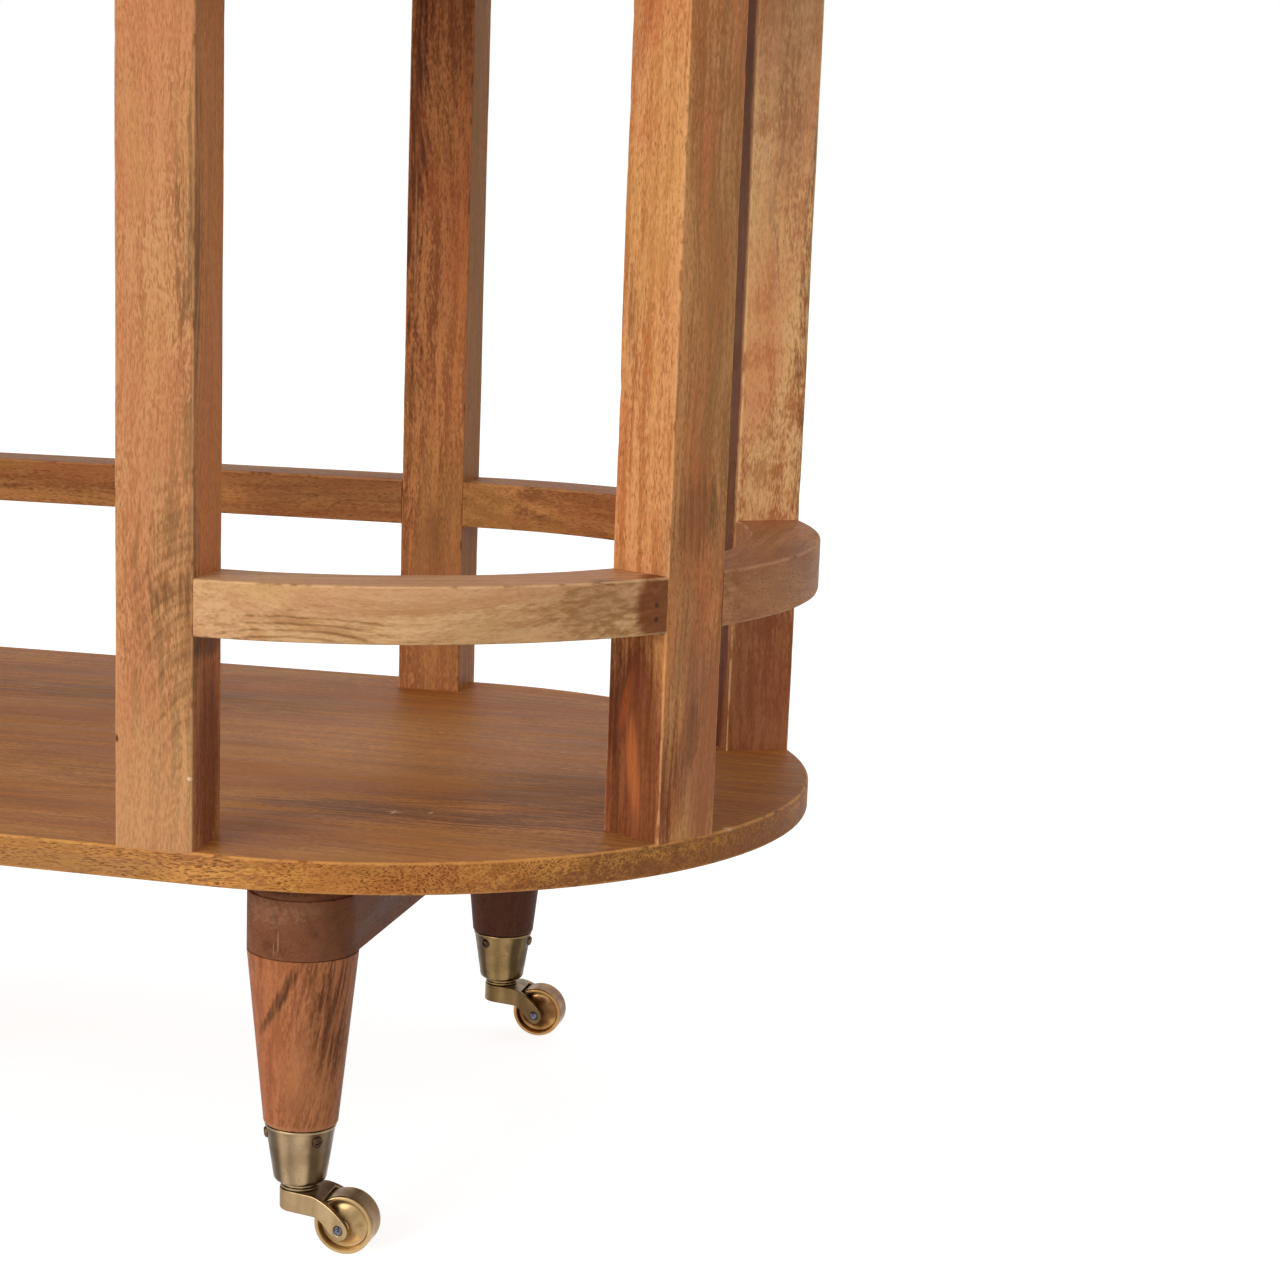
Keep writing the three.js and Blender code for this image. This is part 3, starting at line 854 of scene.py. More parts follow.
@dataclass(frozen=True)
class Seat:
    """Where a post stands.

    Attributes:
        name: The post's place in words.
        centre: X of the point that the outline turns about there.
        angle: The direction that points outwards, in radians.
        on_round: Whether it is on a round end.
    """

    name: str
    centre: float
    angle: float
    on_round: bool = False

    def matrix(self, outline: Outline, width: float) -> Matrix:
        """Returns the post's own frame, with +Y outwards, for a post of that width."""
        reach = math.sqrt(outline.radius**2 - (width / 2) ** 2) if self.on_round else outline.radius
        spot = Vector((self.centre + reach * math.cos(self.angle), reach * math.sin(self.angle), 0))
        return Matrix.Translation(spot) @ Matrix.Rotation(self.angle - QUARTER, 4, "Z")


@dataclass
class Shelf:
    """The thick lower shelf.

    Attributes:
        outline: Its outline.
        levels: The heights of the table's pieces.
        ease: Radius of its rounded edges.
        wood: Its finish.
    """

    outline: Outline
    levels: Levels
    ease: float = 1.6
    wood: MangoWood = MangoWood(
        light=paint(218, 152, 80),
        dark=paint(170, 108, 54),
        warm=paint(180, 106, 54),
        gold=paint(203, 140, 67),
        fleck=paint(113, 63, 28),
        streaks=1.2,
        fibres=1.5,
        speckle=2.2,
        smoky=0.4,
        pores=0.9,
        dense=0.05,
        calm=0.85,
        worn=0.65,
        marks=(
            Mark((130, -252, 207), (120, 6, 12), paint(214, 160, 112), 0.2, 0.8),
            Mark((400, -60, 204), (150, 190, 9.5), paint(146, 92, 57), 0.75, 0.4),
            Mark((430, -60, 216), (90, 200, 5), paint(138, 90, 60), 0.55, 0.4),
            Mark((230, 40, 216), (170, 100, 6), paint(228, 172, 124), 0.4, 0.8),
            Mark((285, -128, 216), (80, 24, 6), paint(112, 76, 52), 0.5, 0.7),
            Mark((352, -62, 216), (70, 70, 6), paint(116, 76, 50), 0.45, 0.6),
            Mark((40, 120, 216), (170, 40, 6), paint(124, 86, 54), 0.45, 0.7),
            Mark((269, -129.4, 216.2), (5.5, 1.1, 1), paint(236, 200, 160), 0.9, 0.5),
            Mark((268.4, -129.4, 216.2), (1.2, 4.5, 1), paint(236, 200, 160), 0.9, 0.5),
            Mark((287, -124.5, 216.2), (1.4, 3.2, 1), paint(222, 180, 138), 0.8, 0.6),
            Mark((438.9, -101, 216.2), (3.0, 6.0, 1.2), paint(236, 200, 160), 0.9, 0.8),
        ),
    )

    def build(self) -> None:
        """Makes the shelf."""
        levels = self.levels
        shape = slab(self.outline.board(steps=96), levels.shelf, levels.shelf_top, self.ease)
        made = shape.piece("serving_shelf")
        self.wood.dress(made, ALONG, 1.0)
        settle(made, "frame", Slot.SHELF, "shelf")


@dataclass
class Posts:
    """The eight posts that stand on the shelf and carry the tray.

    Attributes:
        outline: The outline that they stand on.
        levels: The heights of the table's pieces.
        width: Their width along the outline.
        depth: Their depth, outwards.
        arris: Radius of their hand-eased edges, and how much it wanders.
        setback: From the start of a round end to the middle of a side post.
        end_angle: Direction of the end posts from the long axis, in degrees.
        sunk: How far their feet are let into the shelf.
        stations: In how many steps a post is made from foot to top.
        least: Smallest radius of its edges.
        drift_rate: How fast the radius wanders, for each millimetre of height.
        nick_rate: The same of the nicks in the edges.
        nick: How rare the nicks are, and how deep.
    """

    outline: Outline
    levels: Levels
    width: float = 40.4
    depth: float = 38.2
    arris: Pair = (1.15, 0.75)
    setback: float = 26.6
    end_angle: float = 31.5
    sunk: float = 0.7
    stations: int = 90
    least: float = 0.55
    drift_rate: float = 0.021
    nick_rate: float = 0.11
    nick: Pair = (0.28, 1.6)

    def seats(self) -> list[Seat]:
        """Returns the seats, anticlockwise from the front right."""
        side = self.outline.straight - self.setback
        end = self.outline.straight
        turn = math.radians(self.end_angle)
        return [
            Seat("front_right", side, -QUARTER),
            Seat("end_right_front", end, -turn, True),
            Seat("end_right_back", end, turn, True),
            Seat("back_right", side, QUARTER),
            Seat("back_left", -side, QUARTER),
            Seat("end_left_back", -end, math.pi - turn, True),
            Seat("end_left_front", -end, math.pi + turn, True),
            Seat("front_left", -side, 3 * QUARTER),
        ]

    def woods(self) -> dict[str, MangoWood]:
        """Returns the wood of each post, which comes from a different board."""
        eye = (207, -250, 215)
        front = MangoWood(
            light=paint(213, 154, 104),
            dark=paint(180, 116, 72),
            warm=paint(204, 128, 84),
            gold=paint(206, 152, 92),
            fleck=paint(136, 84, 50),
            smoke=paint(140, 104, 66),
            speckle=3.2,
            fibres=1.5,
            pores=0.35,
            dense=0.03,
            marks=(
                # Painted light: the post's +X face is painted warmer and paler than its front, as it is lit.
                Mark((204.5, -226, 500), (3, 28, 340), paint(216, 136, 70), 0.6, 0.2),
                Mark((205, -250, 515), (10, 10, 80), paint(122, 90, 56), 0.65, 1.1),
                Mark((207, -250, 325), (30, 8, 105), paint(168, 124, 76), 0.6, 0.9),
                Mark((183, -250, 236), (50, 8, 60), paint(200, 152, 102), 0.6, 0.5),
                Mark((205, -250, 325), (38, 8, 80), paint(140, 96, 60), 0.42, 0.35, eye, (2.4, 1, 1), 17.0),
                Mark((205, -250, 325), (36, 8, 76), paint(124, 84, 52), 0.32, 0.45, eye, (2.4, 1, 1), 6.3),
                Mark((195, -250, 343), (13, 6, 9), paint(120, 78, 44), 0.6, 0.9),
                # Below the low rail the side is partly darker wood, partly painted shade; the band right
                # under the rail is painted shadow.
                Mark((205, -230, 258), (3, 26, 72), paint(124, 68, 44), 0.8, 0.2),
                Mark((205, -230, 317), (3, 30, 11), paint(76, 46, 34), 0.6, 0.2),
                Mark((202.3, -250, 252.7), (1.8, 2, 1.1), paint(238, 206, 170), 0.9, 0.3),
                Mark((163.8, -250, 269.9), (1.4, 3, 2.2), paint(70, 40, 24), 0.9, 0.3),
            ),
        )
        golden = MangoWood(
            light=paint(229, 163, 107),
            dark=paint(191, 120, 67),
            warm=paint(219, 126, 80),
            gold=paint(225, 171, 96),
            fleck=paint(126, 75, 41),
            smoke=paint(137, 92, 57),
            clouds=(0.75, 0.3),
            fibres=1.4,
            speckle=2.0,
            marks=(
                Mark((440, -118, 500), (38, 32, 170), paint(172, 126, 80), 0.6, 0.5),
                Mark((391, -134.5, 560), (1.8, 1.8, 110), paint(176, 100, 52), 0.5),
                Mark((388, -132.5, 430), (1.8, 1.8, 120), paint(180, 104, 54), 0.5),
                Mark((400, -139.5, 450), (1.6, 1.6, 150), paint(226, 166, 96), 0.5),
                Mark((386, -131, 470), (5, 5, 30), paint(124, 80, 46), 0.6),
                Mark((422, -130, 378), (17, 17, 22), paint(112, 80, 50), 0.5, 0.5),
                Mark((420, -132, 312), (16, 16, 36), paint(160, 114, 80), 0.55, 0.5),
                Mark((428, -120, 262), (26, 26, 62), paint(168, 116, 82), 0.65, 0.3),
                Mark((422, -128, 268), (7, 7, 22), paint(116, 78, 52), 0.5, 0.5, lean=10.0),
                # Partly a dark heart in the wood, partly painted shade on the face below the low rail.
                Mark((396, -137, 246), (27, 27, 92), paint(120, 60, 36), 0.92, 0.15),
                Mark((384, -130, 288), (12, 12, 38), paint(84, 46, 30), 0.6, 0.3),
                Mark((396, -137.5, 250), (4.5, 4.5, 34), paint(204, 118, 64), 0.75, 0.6, lean=-8.0),
                Mark((390, -134, 284), (3.5, 3.5, 24), paint(176, 92, 50), 0.6, 0.6, lean=14.0),
                Mark((386, -131, 240), (4, 4, 30), paint(92, 50, 32), 0.5, 0.3),
            ),
        )
        # The palette is painted paler than the other posts', as painted light for a post that stands in its
        # neighbour's shade.
        pink = MangoWood(
            light=paint(255, 201, 139),
            dark=paint(200, 129, 80),
            warm=paint(234, 149, 98),
            gold=paint(255, 208, 139),
            fleck=paint(147, 95, 57),
            speckle=2.3,
            curl=2.2,
            pores=0.3,
            marks=(
                Mark((417, 104, 600), (34, 30, 90), paint(246, 196, 148), 0.5, 1.0),
                # Below the low rail the post is partly darker wood, partly painted shade; the band right
                # under the rail is painted shadow.
                Mark((417, 104, 246), (38, 28, 92), paint(148, 83, 52), 0.92, 0.15),
                Mark((417, 104, 312), (30, 28, 14), paint(84, 50, 34), 0.5, 0.4),
                Mark((433, 113, 450), (5, 5, 150), paint(112, 74, 48), 0.6, 1.2),
                # Painted shade: the post's inner face, which stands in its neighbour's shadow, is painted
                # dark.
                Mark((390, 108, 470), (16, 24, 400), paint(84, 44, 28), 0.88, 0.1),
                Mark((418, 104, 560), (7, 7, 60), paint(156, 94, 60), 0.5, 1.2),
            ),
        )
        russet = MangoWood(
            light=paint(209, 142, 87),
            dark=paint(144, 86, 48),
            warm=paint(191, 108, 63),
            gold=paint(185, 134, 75),
            fleck=paint(89, 50, 26),
            smoke=paint(109, 66, 36),
            streaks=2.0,
            fibres=1.6,
            speckle=1.9,
            smoky=0.6,
            pores=0.4,
            marks=(
                # Painted light: the post's +X face is painted a richer olive than its front, as that face
                # reflects less of the light.
                Mark((204.5, 230, 450), (3, 28, 360), paint(164, 108, 46), 0.85, 0.2),
                Mark((168, 212, 570), (7, 8, 130), paint(92, 52, 30), 0.75, 1.2),
                Mark((169, 212, 500), (0.8, 4, 50), paint(200, 150, 105), 0.6, 0.4),
                Mark((198, 212, 430), (9, 10, 70), paint(194, 118, 68), 0.55),
                Mark((184, 212, 262), (30, 16, 66), paint(190, 126, 80), 0.6, 0.8),
            ),
        )
        return {
            "front_right": front,
            "end_right_front": golden,
            "end_right_back": pink,
            "back_right": russet,
            "back_left": TAN,
            "end_left_back": golden,
            "end_left_front": front,
            "front_left": TAN,
        }

    def column(self, seed: int) -> Shape:
        """Makes one post in its own frame.

        Args:
            seed: Which way its edges wander.

        Returns:
            The post, with its outer face at Y 0 and its foot at the shelf.
        """
        half, deep = self.width / 2, self.depth
        corners = [(-half, -deep), (half, -deep), (half, 0.0), (-half, 0.0)]
        low, high = self.levels.shelf_top - self.sunk, self.levels.post_top
        rings, wear = [], []
        for step in range(self.stations + 1):
            z = low + (high - low) * step / self.stations
            radii = []
            for k in range(4):
                drift = wander(seed * 7.3 + k * 3.1, z * self.drift_rate, 0.4) * self.arris[1]
                nick = max(0.0, wander(seed * 5.1 + k * 9.7, z * self.nick_rate, 7.7) - self.nick[0])
                radii.append(max(self.least, self.arris[0] + drift + nick * self.nick[1]))
            section, rub = rounded(corners, radii, 3)
            rings.append([Vector((x, y, z)) for x, y in section])
            wear.append(rub)
        return loft(rings, wear)

    def build(self) -> None:
        """Makes the eight posts."""
        woods = self.woods()
        for seed, seat in enumerate(self.seats()):
            shape = self.column(seed).moved(seat.matrix(self.outline, self.width))
            made = shape.piece("upright_" + seat.name)
            woods[seat.name].dress(made, UP, 2.3 + seed * 1.7)
            settle(made, "frame", Slot.POST, "post_" + seat.name)


@dataclass
class Rails:
    """The gallery rails between the posts, low and at the top.

    Attributes:
        outline: The outline that they follow.
        levels: The heights of the table's pieces.
        posts: The posts that they join.
        height: Height of a rail.
        gap: Gap between a rail's end and its post.
        arris: Radius of their rounded edges, and how much it wanders.
        steps: How many steps make the curve of a rail.
        drift_rate: How fast the radius of its edges wanders, for each step.
    """

    outline: Outline
    levels: Levels
    posts: Posts
    height: float = 28.2
    gap: float = 0.1
    arris: Pair = (1.5, 0.7)
    steps: int = 36
    drift_rate: float = 0.23

    def woods(self) -> dict[str, MangoWood]:
        """Returns the wood of each rail that stands out."""
        eye = (250, -247, 319)
        front = MangoWood(
            light=paint(231, 185, 133),
            dark=paint(195, 142, 93),
            warm=paint(214, 155, 113),
            gold=paint(224, 182, 115),
            fleck=paint(137, 95, 56),
            smoke=paint(151, 113, 70),
            streaks=1.2,
            fibres=1.3,
            speckle=1.1,
            pores=0.15,
            marks=(
                Mark((385, -178, 337), (26, 26, 20), paint(148, 104, 56), 0.5),
                Mark((262, -243, 324), (54, 20, 15), paint(142, 98, 54), 0.75, 0.5, eye, (1, 1, 5), 16.0),
                Mark((388, -176, 350.4), (8, 8, 1.5), paint(96, 50, 36), 0.85, 0.8),
                Mark((412, -148, 336), (20, 26, 32), paint(142, 84, 48), 1.0, 0.08),
                Mark((407.8, -152.9, 337.2), (1.7, 1.7, 1.7), paint(84, 56, 42), 0.9, 0.2),
                Mark((407.8, -152.9, 330.1), (1.7, 1.7, 1.7), paint(84, 56, 42), 0.9, 0.2),
            ),
        )
        end = MangoWood(
            light=paint(205, 147, 101),
            dark=paint(165, 108, 68),
            warm=paint(182, 118, 78),
            gold=paint(197, 139, 87),
            speckle=0.9,
        )
        rear = MangoWood(
            light=paint(205, 144, 86),
            dark=paint(143, 90, 49),
            warm=paint(171, 104, 61),
            gold=paint(187, 136, 70),
            fleck=paint(91, 55, 28),
            streaks=2.0,
        )
        return {"front_right": front, "end_right": end, "back": rear, "back_right": rear, "back_left": rear}

    def stations(self, start: Seat, end: Seat, radius: float) -> list[Vector]:
        """Places along a rail from one post to the next.

        Args:
            start: The post that it leaves, going anticlockwise.
            end: The post that it reaches.
            radius: How far from the centre of the round end the line of places runs.

        Returns:
            The places, at height 0, from one post's side to the other's.
        """
        side = self.posts.width / 2 + self.gap
        lean = math.asin(side / radius)
        hub = self.outline.straight

        def spot(angle: float) -> Vector:
            """Returns the place on the line at an angle about the round end's centre."""
            return Vector((hub + radius * math.cos(angle), radius * math.sin(angle), 0))

        if not (start.on_round or end.on_round):
            near, far = Vector((start.centre - side, radius, 0)), Vector((end.centre + side, radius, 0))
            return [near.lerp(far, step / self.steps) for step in range(self.steps + 1)]
        first = start.angle + lean if start.on_round else start.angle
        last = end.angle - lean if end.on_round else end.angle
        places = [spot(first + (last - first) * step / self.steps) for step in range(self.steps + 1)]
        if not start.on_round:
            places.insert(0, Vector((start.centre + side, -radius, 0)))
        if not end.on_round:
            places.append(Vector((end.centre + side, radius, 0)))
        return places

    def bar(self, start: Seat, end: Seat, bottom: float, seed: int) -> Shape:
        """Makes one rail.

        Args:
            start: The post that it leaves, going anticlockwise.
            end: The post that it reaches.
            bottom: Height of its underside.
            seed: Which way its edges wander.

        Returns:
            The rail.
        """
        depth = self.posts.depth
        corners = [(0.0, 0.0), (depth, 0.0), (depth, self.height), (0.0, self.height)]
        count = len(self.stations(start, end, self.outline.radius))
        rings, wear = [[] for _ in range(count)], []
        for step in range(count):
            radii = []
            for k in range(4):
                drift = wander(seed * 4.7 + k * 2.3, step * self.drift_rate, 3.3) * self.arris[1]
                radii.append(self.arris[0] + drift)
            section, rub = rounded(corners, radii, 3)
            wear.append(rub)
            for inward, up in section:
                line = self.stations(start, end, self.outline.radius - inward)
                rings[step].append(line[step] + UP * (bottom + up))
        return loft(rings, wear)

    def build(self) -> None:
        """Makes the seven low rails and the eight top rails."""
        seats = self.posts.seats()
        woods = self.woods()
        runs = {
            "front_right": (0, 1, "back_left"),
            "end_right": (1, 2, "end_left"),
            "back_right": (2, 3, "front_left"),
            "back": (3, 4, "front"),
        }
        for tier, bottom in (("low", self.levels.low_rail), ("top", self.levels.top_rail)):
            for seed, (name, (first, last, opposite)) in enumerate(runs.items()):
                shape = self.bar(seats[first], seats[last], bottom, seed)
                chord = shape.points[-1] - shape.points[0]
                for place, turn in ((name, AS_IT_IS), (opposite, HALF_TURN)):
                    if tier == "low" and place == "front":
                        continue
                    made = shape.moved(turn).piece(f"gallery_{tier}_{place}")
                    grain = turn.to_3x3() @ Vector((chord.x, chord.y, 0))
                    board = 20.0 + seed * 2.1 + len(place) + (tier == "top") * 5
                    woods.get(place, TAN).dress(made, grain, board)
                    settle(made, "frame", Slot.RAIL, f"{tier}_rail_{place}")


@dataclass
class Undercarriage:
    """The two battens under the shelf, and the four turned legs.

    Attributes:
        outline: The table's outline.
        levels: The heights of the table's pieces.
        outboard: From the start of a round end to a leg's axis.
        inset: From the shelf's long edge to a leg's axis.
        top_radius: Radius of a leg at the top, and half the width of a batten.
        foot_radius: Radius of a leg at the foot.
        foot_round: Radius of the rounded edge there.
        spigot: Radius and length of the part of a leg inside its brass cup.
        tip: How much narrower the spigot is at its end.
        shoulder: How much wider it is under the leg, and over what height.
        leg_grain: Direction of the grain in the legs, which were sawn a little aslant.
        step: Height and depth of the shallow step round a batten's top.
        seam: Height of the glue line between a leg and its batten.
        squeeze: How far the glue line stays inside the leg's edge.
    """

    outline: Outline
    levels: Levels
    outboard: float = 32.3
    inset: float = 54.7
    top_radius: float = 28.5
    foot_radius: float = 19.3
    foot_round: float = 1.6
    spigot: Pair = (14.0, 20.0)
    tip: float = 2.0
    shoulder: Pair = (1.9, 2.0)
    leg_grain: Vector = field(default_factory=lambda: Vector((0.13, 0.05, 1.0)))
    step: Pair = (10.4, 1.6)
    seam: float = 0.3
    squeeze: float = 0.35

    def woods(self) -> dict[str, MangoWood]:
        """Returns the wood of each leg and bearer that stands out. The back legs are painted dark as painted
        shade, and the bearers partly so.
        """
        leg = MangoWood(
            light=paint(198, 129, 85),
            dark=paint(137, 81, 51),
            warm=paint(178, 103, 66),
            gold=paint(186, 123, 75),
            fleck=paint(87, 52, 36),
            smoky=0.5,
            streaks=1.2,
            fibres=1.7,
            speckle=1.4,
            pores=0.15,
            gloss=(0.4, 0.55),
            marks=(
                Mark((240, -220, 139), (2.6, 12, 32), paint(84, 52, 36), 0.7, 0.55, lean=30.0),
                Mark((246, -220, 146), (1.6, 12, 18), paint(84, 52, 36), 0.5, 0.7, lean=26.0),
                Mark((262, -214, 122), (5.0, 12, 34), paint(112, 68, 44), 0.45, 0.7, lean=3.0),
                Mark((250, -220, 96), (12, 12, 20), paint(206, 138, 90), 0.5, 0.9),
                Mark((264, -212, 122), (8, 14, 36), paint(96, 56, 34), 0.65),
                Mark((242.3, -195.3, 64.5), (40, 40, 5), paint(206, 142, 106), 0.7, 0.4),
            ),
        )
        # Painted shade: the back legs stand in the shelf's shadow, so their wood is painted much darker than
        # the front legs'.
        shade_painted = MangoWood(
            light=paint(109, 71, 60),
            dark=paint(72, 44, 35),
            warm=paint(100, 57, 43),
            gold=paint(108, 69, 51),
            fleck=paint(48, 30, 25),
        )
        # The bearers' wood is painted darker than the legs', partly as painted shade under the shelf's
        # overhang.
        bearer = MangoWood(
            light=paint(143, 89, 59),
            dark=paint(101, 61, 39),
            warm=paint(126, 73, 48),
            gold=paint(131, 86, 55),
            fleck=paint(68, 40, 24),
            speckle=0.7,
            fibres=1.3,
            marks=(
                Mark((228, -222, 182), (20, 10, 7), paint(176, 134, 100), 0.5),
                Mark((255, -222, 186), (16, 10, 5), paint(170, 128, 94), 0.35),
                Mark((239, -222, 168), (0.45, 8, 7), paint(206, 164, 128), 0.5, 0.4),
                Mark((236.5, -222, 164), (0.35, 8, 4), paint(206, 164, 128), 0.4, 0.4),
                # Painted shadow: a dark band round the top of each bearer, where the shelf's overhang shades
                # it.
                Mark((242.3, 0, 195.5), (60, 400, 6.5), paint(64, 38, 28), 0.75, 0.2),
            ),
        )
        woods = {"front_right": leg, "front_left": leg, "back_right": shade_painted, "back_left": shade_painted}
        return woods | {"bearer": bearer}

    @property
    def leg_x(self) -> float:
        """Distance of the legs from the middle, along the table."""
        return self.outline.straight + self.outboard

    @property
    def leg_y(self) -> float:
        """Distance of the legs from the middle, across the table."""
        return self.outline.radius - self.inset

    def leg(self) -> Shape:
        """Makes a leg about its own axis, at its own height."""
        low, high = self.levels.leg_foot, self.levels.leg_top
        radius, length = self.spigot
        wide, tall = radius + self.shoulder[0], low - self.shoulder[1]
        profile = [(0.0, low - length), (radius - self.tip, low - length), (wide, tall), (wide, low)]
        rim = self.foot_radius - self.foot_round
        profile.append((rim, low))
        for step in range(1, 6):
            angle = QUARTER * step / 5
            rise = self.foot_round * (1 - math.cos(angle))
            profile.append((rim + self.foot_round * math.sin(angle), low + rise))
        rings = 16
        for step in range(1, rings + 1):
            share = step / rings
            z = low + self.foot_round + (high - low - self.foot_round) * share
            profile.append((self.foot_radius + (self.top_radius - self.foot_radius) * share, z))
        profile.append((0.0, high))
        return turned(profile, 72, worn=(5, 6, 7))

    def bearer(self) -> Shape:
        """Makes a bearer along X, with the shallow step round its top."""
        low, high = self.levels.batten, self.levels.batten_top
        height, inset = self.step
        ledge = high - height
        rings, wear = [], []
        # The height of each ring, how far it is drawn in, and its wear.
        levels = [(low, 1.0, 0.3), (low + 0.3, 0.3, 1.0), (low + 1.0, 0.0, 0.3)]
        levels += [(ledge - 0.8, 0.0, 0.3), (ledge - 0.2, 0.25, 1.0), (ledge, 0.8, 1.0)]
        levels += [(ledge, inset, 0.0), (high, inset, 0.0)]
        for z, drawn_in, rub in levels:
            outline = stadium(self.leg_y, self.top_radius - drawn_in, 40)
            rings.append([Vector((x, y, z)) for x, y in outline])
            wear.append([rub] * len(outline))
        return loft(rings, wear)

    def glue_line(self) -> Shape:
        """Makes the film of glue and dust between a leg and its bearer."""
        radius, low = self.top_radius - self.squeeze, self.levels.leg_top
        high = low + self.seam
        return turned([(0.0, low), (radius, low), (radius, high), (0.0, high)], 72)

    def build(self) -> None:
        """Makes the battens and legs."""
        seed = 40.0
        across = Matrix.Rotation(QUARTER, 4, "Z")
        woods = self.woods()
        for side in Side:
            name = side.name.lower()
            shape = self.bearer().moved(across)
            made = shape.moved(Matrix.Translation((side.value * self.leg_x, 0, 0))).piece("bearer_" + name)
            woods["bearer"].dress(made, ACROSS, seed)
            settle(made, "frame", Slot.LEG, "batten_" + name)
            seed += 1.3
            for edge in Edge:
                place = f"{edge.name.lower()}_{name}"
                spot = Vector((side.value * self.leg_x, edge.value * self.leg_y, 0))
                made = self.leg().moved(Matrix.Translation(spot)).piece("turned_leg_" + place)
                woods[place].dress(made, self.leg_grain, seed)
                settle(made, "frame", Slot.LEG, "leg_" + place)
                made = self.glue_line().moved(Matrix.Translation(spot)).piece("glue_line_" + place)
                woods["bearer"].dress(made, ACROSS, seed)
                settle(made, "frame", Slot.LEG)
                seed += 1.3


@dataclass
class Castor:
    """A swivelling brass castor in a cup that is screwed to the leg.

    Attributes:
        levels: The heights of the table's pieces.
        place: Its corner in words.
        x: X of its swivel axis.
        y: Y of its swivel axis.
        screws: Directions of its three screws, in degrees from +X.
        seed: Which patches of patina it has.
        crease: Edges of its turned parts sharper than this many degrees stay crisp.
        cup_height: Height of the cup.
        cup_top: Radius of the cup under its lip.
        cup_base: Radius of the cup at its base.
        cup_round: Radius of the cup's rounded base.
        cup_wall: Thickness of the cup's wall.
        cup_floor: Thickness of the cup's floor.
        lip: How far the cup's rolled lip stands out, and its height.
        lip_start: Where the lip's round starts, out from and up from the wall.
        hole: Radius of the hole for the stem.
        collar_radius: Radius of the collar.
        collar_height: Height of the collar.
        collar_ease: Width of the collar's bevels.
        groove: Depth, foot and top of the groove round the collar.
        trail: From the swivel's axis back to the axle.
        crown_radius: Radius of the fork's crown.
        crown_height: Height of the crown.
        width: Overall width of the fork at the axle.
        arm: Thickness of the fork's arms.
        arm_end: Radius of an arm's round end.
        arm_span: Directions between which that end is round, in degrees.
        under_pull: How straight the curve under an arm sets off from the crown, as a share of the
            trail, and comes to the round end, as a share of its radius.
        over_pull: The same of the curve over an arm.
        overrun: How far the outline from above reaches past the arms' ends.
        back_room: How far the outline from the side reaches behind the crown.
        tower: Foot and top of the upright solids that have the outline from above.
        level_run: From the swivel's axis to where the fork's top starts to fall.
        heel: The same for its underside.
        wheel_gap: Room between the tyre and the crown.
        wheel_radius: Radius of the wheel.
        wheel_width: Width of the wheel.
        tread: Width of the flat part of its tread.
        tyre_ease: Height of the tyre's rounded edges.
        rim: Height of the wheel's rim.
        rim_ease: Height and width of the bevel inside the rim.
        dish_depth: Depth of the dish inside the rim.
        dish_flat: Width of the dish's flat floor.
        cove: Width of the slope from there to the rim.
        cove_points: Points of that slope, outwards and up from its foot.
        flare: How the hub flares into the dish, as powers of its spread and of its fall.
        hub_radius: Radius of the hub at its end.
        hub_width: Length of the hub.
        hub_ease: Width of the bevel at its ends.
        axle_radius: Radius of the axle.
        axle_proud: How far the axle's ends stand out of the arms.
        axle_end: The rounding of those ends, in from the side and down from the end.
        fit: Room round the axle.
        screw_radius: Radius of a screw's head.
        screw_height: Height of a screw's head.
        screw_dome: Power of the curve of its head. The higher it is, the flatter the head.
        screw_skirt: How far the head's side goes into the wall, and the seat under it.
        screw_level: Height of the screws above the floor.
        slot: Half the width of the cross in a screw's head, its depth, and its reach as a share of
            the head's radius.
    """

    levels: Levels
    place: str
    x: float
    y: float
    screws: Triple
    seed: float = 0.0
    crease: float = 35.0
    cup_height: float = 31.2
    cup_top: float = 17.9
    cup_base: float = 13.9
    cup_round: float = 3.4
    cup_wall: float = 1.6
    cup_floor: float = 3.4
    lip: Pair = (0.5, 1.8)
    lip_start: Pair = (0.05, 0.1)
    hole: float = 4.3
    collar_radius: float = 9.9
    collar_height: float = 3.0
    collar_ease: float = 0.3
    groove: Triple = (1.1, 1.1, 2.0)
    trail: float = 26.0
    crown_radius: float = 10.4
    crown_height: float = 11.0
    width: float = 32.0
    arm: float = 3.4
    arm_end: float = 5.2
    arm_span: Pair = (-110.0, 20.0)
    under_pull: Pair = (0.19, 0.65)
    over_pull: Pair = (0.27, 0.96)
    overrun: float = 4.0
    back_room: float = 1.0
    tower: Pair = (-4.0, 40.0)
    level_run: float = 9.5
    heel: float = 11.5
    wheel_gap: float = 1.2
    wheel_radius: float = 15.6
    wheel_width: float = 16.0
    tread: float = 13.0
    tyre_ease: float = 0.9
    rim: float = 2.2
    rim_ease: Pair = (0.3, 0.25)
    dish_depth: float = 3.8
    dish_flat: float = 1.4
    cove: float = 1.0
    cove_points: tuple[Pair, ...] = ((0.0, 0.15), (0.7, 1.4))
    flare: Pair = (1.7, 1.25)
    hub_radius: float = 4.2
    hub_width: float = 22.2
    hub_ease: float = 0.4
    axle_radius: float = 2.45
    axle_proud: float = 0.4
    axle_end: tuple[Pair, ...] = ((0.98, 0.05), (0.35, 0.15), (0.0, 0.5))
    fit: float = 0.1
    screw_radius: float = 3.1
    screw_height: float = 1.7
    screw_dome: float = 3.2
    screw_skirt: Pair = (1.2, 0.1)
    screw_level: float = 60.0
    slot: Triple = (0.42, 0.9, 0.62)

